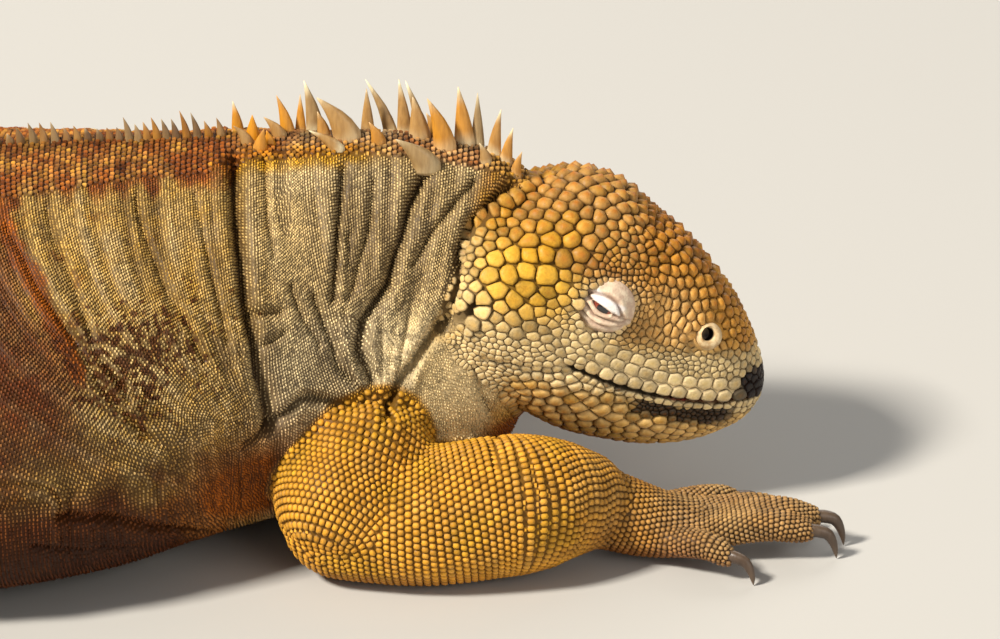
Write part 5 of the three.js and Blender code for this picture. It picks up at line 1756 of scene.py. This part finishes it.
def ramped(tree, value, low, high, to_low=0, to_high=1):
    """A value eased from one range to another."""
    return add_node(tree, "ShaderNodeMapRange", {0: value, 1: low, 2: high, 3: to_low, 4: to_high},
                    interpolation_type="SMOOTHSTEP").outputs[0]


def noise(tree, where, scale, detail):
    """The value of a noise texture."""
    made = add_node(tree, "ShaderNodeTexNoise", {"Vector": where, "Scale": scale, "Detail": detail})
    return made.outputs[0]


def object_place(tree):
    """Places in the object's own coordinates."""
    return add_node(tree, "ShaderNodeTexCoord").outputs["Object"]


def stored(tree, name, socket="Fac"):
    """A number stored on the mesh under a name."""
    return add_node(tree, "ShaderNodeAttribute", attribute_name=name).outputs[socket]


def finish(tree, shader, colour, height=None, strength=0.3, distance=0.0003):
    """Links a colour to the shader, and a height to its normal through a bump."""
    tree.links.new(colour, shader.inputs["Base Color"])
    if height is not None:
        relief = {"Strength": strength, "Distance": distance, "Height": height}
        tree.links.new(add_node(tree, "ShaderNodeBump", relief).outputs["Normal"], shader.inputs["Normal"])


# %% The group that paints skin and scales
hide = bpy.data.node_groups.new("hide_paint", "ShaderNodeTree")
BLACK = (0, 0, 0, 1)
for name, value in (("First paints", BLACK), ("Amber", 0), ("Last paints", BLACK), ("Flesh", 0), ("Top", 0),
                    ("Peak", 0), ("Tone", 0.5), ("Seam", 0.9), ("Shine on top", 0.3), ("Tone range", 0.35),
                    ("Grain size", 900)):
    kind = "NodeSocketColor" if value is BLACK else "NodeSocketFloat"
    socket = hide.interface.new_socket(name, in_out="INPUT", socket_type=kind)
    socket.default_value = value
for name, kind in (("Colour", "NodeSocketColor"), ("Roughness", "NodeSocketFloat"),
                   ("Height", "NodeSocketFloat")):
    hide.interface.new_socket(name, in_out="OUTPUT", socket_type=kind)
given = hide.nodes.new("NodeGroupInput").outputs
first = add_node(hide, "ShaderNodeSeparateColor", {0: given["First paints"]}).outputs
last = add_node(hide, "ShaderNodeSeparateColor", {0: given["Last paints"]}).outputs
amounts = (first[0], first[1], first[2], given["Amber"], last[0], last[1], last[2], given["Flesh"])
order = ("pale", "ochre", "yellow", "amber", "rust", "umber", "soot", "flesh")
amount_of = dict(zip(PAINTS, amounts))
colour = PAINT_COLOURS["straw"]
for name in order:
    colour = mixed(hide, amount_of[name], colour, PAINT_COLOURS[name])
where = object_place(hide)
blotch = noise(hide, where, 160, 3)
grain = noise(hide, where, given["Grain size"], 4)
spread = counted(hide, "MULTIPLY", counted(hide, "SUBTRACT", given["Tone"], 0.5), given["Tone range"])
light = counted(hide, "ADD", counted(hide, "ADD", 1, spread), ramped(hide, blotch, 0.3, 0.7, -0.14, 0.14))
light = counted(hide, "ADD", light, ramped(hide, grain, 0.3, 0.7, -0.1, 0.1))
shade = add_node(hide, "ShaderNodeCombineXYZ", {0: light, 1: light, 2: light}).outputs[0]
colour = mixed(hide, 1.0, colour, shade, "MULTIPLY")
peaks = counted(hide, "MULTIPLY", ramped(hide, given["Top"], 0.62, 1, 0, 0.75), given["Peak"])
colour = mixed(hide, peaks, colour, PEAK_COLOUR)
# painted highlight: each scale's top is lightened towards a pale gold
painted_top_highlight = counted(hide, "MULTIPLY", ramped(hide, given["Top"], 0.55, 1), given["Shine on top"])
colour = mixed(hide, painted_top_highlight, colour, daylight(246, 214, 140), "SOFT_LIGHT")
# dark skin between scales and painted shade: each scale darkens towards its foot
seam = counted(hide, "MULTIPLY", ramped(hide, given["Top"], 0.5, 0.02), given["Seam"])
colour = mixed(hide, seam, colour, mixed(hide, 0.85, colour, SEAM_AND_SHADE_COLOUR))
fleck = noise(hide, where, 1700, 2)
flecked = mixed(hide, 1.0, colour, (0.5, 0.36, 0.24, 1), "MULTIPLY")
colour = mixed(hide, ramped(hide, fleck, 0.56, 0.72, 0, 0.3), colour, flecked)
roughness = ramped(hide, grain, 0.3, 0.7, 0.42, 0.62)
add_node(hide, "NodeGroupOutput", {"Colour": colour, "Roughness": roughness, "Height": grain})


# %% Materials of the skin and scales
def hide_material(name, seam, shine, tone_range, grain_size=900, bump=0.15, specular=0.35):
    """A satin hide whose colour comes from the stored marks."""
    made, tree, shader = new_material(name, specular=specular)
    group = add_node(tree, "ShaderNodeGroup", {
        "First paints": stored(tree, "paint_a", "Color"), "Amber": stored(tree, "paint_a", "Alpha"),
        "Last paints": stored(tree, "paint_b", "Color"), "Flesh": stored(tree, "paint_b", "Alpha"),
        "Top": stored(tree, "top"), "Peak": stored(tree, "peak"), "Tone": stored(tree, "tone"),
        "Seam": seam, "Shine on top": shine, "Tone range": tone_range, "Grain size": grain_size,
    }, node_tree=hide)
    finish(tree, shader, group.outputs["Colour"], group.outputs["Height"], bump, 0.0004)
    tree.links.new(group.outputs["Roughness"], shader.inputs["Roughness"])
    return made


# each finish sets its painted highlight on scale tops and how dark its seams are, partly dark skin and partly
# painted shade
skin_finish = hide_material("loose_skin", seam=0.95, shine=0, tone_range=0, specular=0.15)
plate_finish = hide_material("head_horn", seam=1, shine=0.4, tone_range=0.55, bump=0.5, specular=0.25)
limb_finish = hide_material("limb_grains", seam=0.95, shine=0.5, tone_range=0.4, specular=0.2)
bead_finish = hide_material("flank_beads", seam=0.95, shine=0.6, tone_range=0.95, specular=0.15)
tail_finish = hide_material("tail_rings", seam=0.9, shine=0.35, tone_range=0.4, specular=0.2)
skin.data.materials.append(skin_finish)
for piece in coat:
    kind = (plate_finish if piece.name.startswith("head") else limb_finish if "leg" in piece.name
            else tail_finish if piece.name.startswith("tail") else bead_finish)
    piece.data.materials.append(kind)


# %% Horn of spines and claws
def horn_material(name, low, high, tip, roughness):
    """Streaked horn, whose colour follows the stored tone from low to high and its height up to the tip's."""
    made, tree, shader = new_material(name, roughness)
    drawn_out = add_node(tree, "ShaderNodeMapping", {"Vector": object_place(tree), "Scale": (1, 1, 0.2)})
    streaks = noise(tree, drawn_out.outputs[0], 900, 4)
    top = stored(tree, "top")
    dusky = counted(tree, "MULTIPLY", stored(tree, "dusky"), 0.75)
    colour = mixed(tree, dusky, mixed(tree, stored(tree, "tone"), low, high), daylight(92, 58, 34))
    pale = counted(tree, "MULTIPLY", ramped(tree, top, 0.35, 0.85), stored(tree, "pale"))
    colour = mixed(tree, pale, colour, tip)
    # painted shade: each spine and claw darkens towards its root, where it enters the skin
    colour = mixed(tree, ramped(tree, top, 0.22, 0, 0, 0.75), colour, SEAM_AND_SHADE_COLOUR)
    streaked = mixed(tree, 1.0, colour, (0.45, 0.36, 0.28, 1), "MULTIPLY")
    colour = mixed(tree, ramped(tree, streaks, 0.35, 0.7, 0, 0.4), colour, streaked)
    finish(tree, shader, colour, streaks, 0.35, 0.0004)
    return made


crest.data.materials.append(horn_material(
    "crest_horn", daylight(164, 136, 92), daylight(216, 144, 24), daylight(244, 230, 188), 0.38))
claws.data.materials.append(horn_material(
    "claw_horn", daylight(70, 54, 42), daylight(70, 54, 42), daylight(120, 100, 80), 0.35))


# %% Eyes, lids and nostrils
iris_finish, tree, shader = new_material("iris", 0.2)
# the wet film over the eye
shader.inputs["Coat Weight"].default_value = 1
shader.inputs["Coat Roughness"].default_value = 0.05
reach = stored(tree, "from_pupil")
rays = noise(tree, object_place(tree), 1500, 3)
colour = mixed(tree, ramped(tree, rays, 0.3, 0.7), daylight(92, 34, 22), daylight(150, 66, 40))
colour = mixed(tree, ramped(tree, reach, 2.1, 1.8), colour, daylight(10, 6, 6))
colour = mixed(tree, ramped(tree, reach, 4.6, 5.2), colour, daylight(70, 30, 24))
finish(tree, shader, colour)
eyes.data.materials.append(iris_finish)
eye_at = places(eyes.data)
eye_side = np.where(eye_at[:, 1] < 0, -1, 1)
eye_out = np.array([turned_axes(side, EYE_AXIS[side], SLANT)[0] for side in eye_side])
eye_from = eye_at - np.array([eye_centres[side] for side in eye_side])
behind_ball = (eye_from * eye_out).sum(1) < 0
NOT_SEEN = 50
from_pupil = np.linalg.norm(np.cross(eye_from, eye_out), axis=1) / MM
float_layer(eyes.data, "from_pupil", from_pupil + NOT_SEEN * behind_ball)

lid_finish, tree, shader = new_material("lid_skin", 0.5, 0.3)
where = object_place(tree)
mottle = noise(tree, where, 450, 4)
pebbles = add_node(tree, "ShaderNodeTexVoronoi", {"Vector": where, "Scale": 1300}).outputs[0]
colour = mixed(tree, ramped(tree, mottle, 0.35, 0.65), daylight(232, 210, 180), daylight(208, 178, 152))
colour = mixed(tree, stored(tree, "white"), colour, daylight(244, 236, 228))
# painted shade: the lid creases are darkened
colour = mixed(tree, counted(tree, "MULTIPLY", stored(tree, "crease"), 0.7), colour, daylight(128, 96, 84))
# painted shade: the lid darkens where it turns in to the slit
colour = mixed(tree, counted(tree, "MULTIPLY", stored(tree, "sunk"), 0.85), colour, daylight(64, 34, 28))
finish(tree, shader, colour, pebbles)
lids.data.materials.append(lid_finish)

nose_finish, tree, shader = new_material("nostril_skin", 0.45, 0.35)
mottle = noise(tree, object_place(tree), 500, 4)
colour = mixed(tree, ramped(tree, mottle, 0.35, 0.65), daylight(222, 196, 150), daylight(190, 154, 106))
# painted shade: the hole of the nostril is painted nearly black
colour = mixed(tree, stored(tree, "sunk"), colour, daylight(8, 6, 5))
finish(tree, shader, colour)
nostrils.data.materials.append(nose_finish)

# %% Shades stored on lids and nostrils
lid_at = places(lids.data)
lid_side = np.where(lid_at[:, 1] < 0, -1, 1)
lid_axes = np.array([turned_axes(side, LID_AXIS[side], SLANT) for side in (-1, 1)])[(lid_side + 1) // 2]
lid_from = (lid_at - np.array([eye_centres[side] for side in lid_side])) / MM
radius = np.linalg.norm(lid_from, axis=1)
lid_uv = np.stack([(lid_from * lid_axes[:, k]).sum(1) for k in (1, 2)], -1) * (LID_RADIUS / radius)[:, None]
# the crease lines, as painted shade on the lids
lines = np.max([depth * hump(line_distance(lid_uv, line), half) for depth, half, line in LID_CREASES], axis=0)
float_layer(lids.data, "crease", np.clip(lines, 0, 1))
# the upper lid is whitest in a strip over the slit
strip = soft(lid_uv[:, 1], 0.4, 1.4) * soft(lid_uv[:, 1], 5, 4)
float_layer(lids.data, "white", strip * soft(np.abs(lid_uv[:, 0] + 1), 7, 5))
# where the lid turns in to the slit, as painted shade
float_layer(lids.data, "sunk", soft(radius, 9, 8.5))
nose_at = places(nostrils.data)
nose_side = (nose_at[:, 1] > 0).astype(int)
nose_axes = np.array([turned_axes(side, NOSTRIL_AXIS[side], 0) for side in (-1, 1)])[nose_side]
nose_from = (nose_at - nose_roots[nose_side]) / MM
nose_out, nose_along, nose_across = ((nose_from * nose_axes[:, k]).sum(1) for k in range(3))
off_hole = np.hypot(nose_along - HOLE_SHIFT[0], nose_across - HOLE_SHIFT[1])
# the hole of the nostril, as painted shade
float_layer(nostrils.data, "sunk", soft(nose_out, 2, 1.4) * soft(off_hole, 2.6, 2.2))

# %% Hand the pieces to the frame
for piece in (skin, crest, claws, eyes, lids, nostrils, *coat):
    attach(piece, "root")
SIDED = ("upper_arm", "forearm", "hand", "thigh", "shank", "foot")
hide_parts("head", "neck", "torso", "tail_base", "tail_middle", "tail_tip",
            *[f"{part}_{side}" for part in SIDED for side in ("right", "left")])
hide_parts("eye_right", "eye_left")
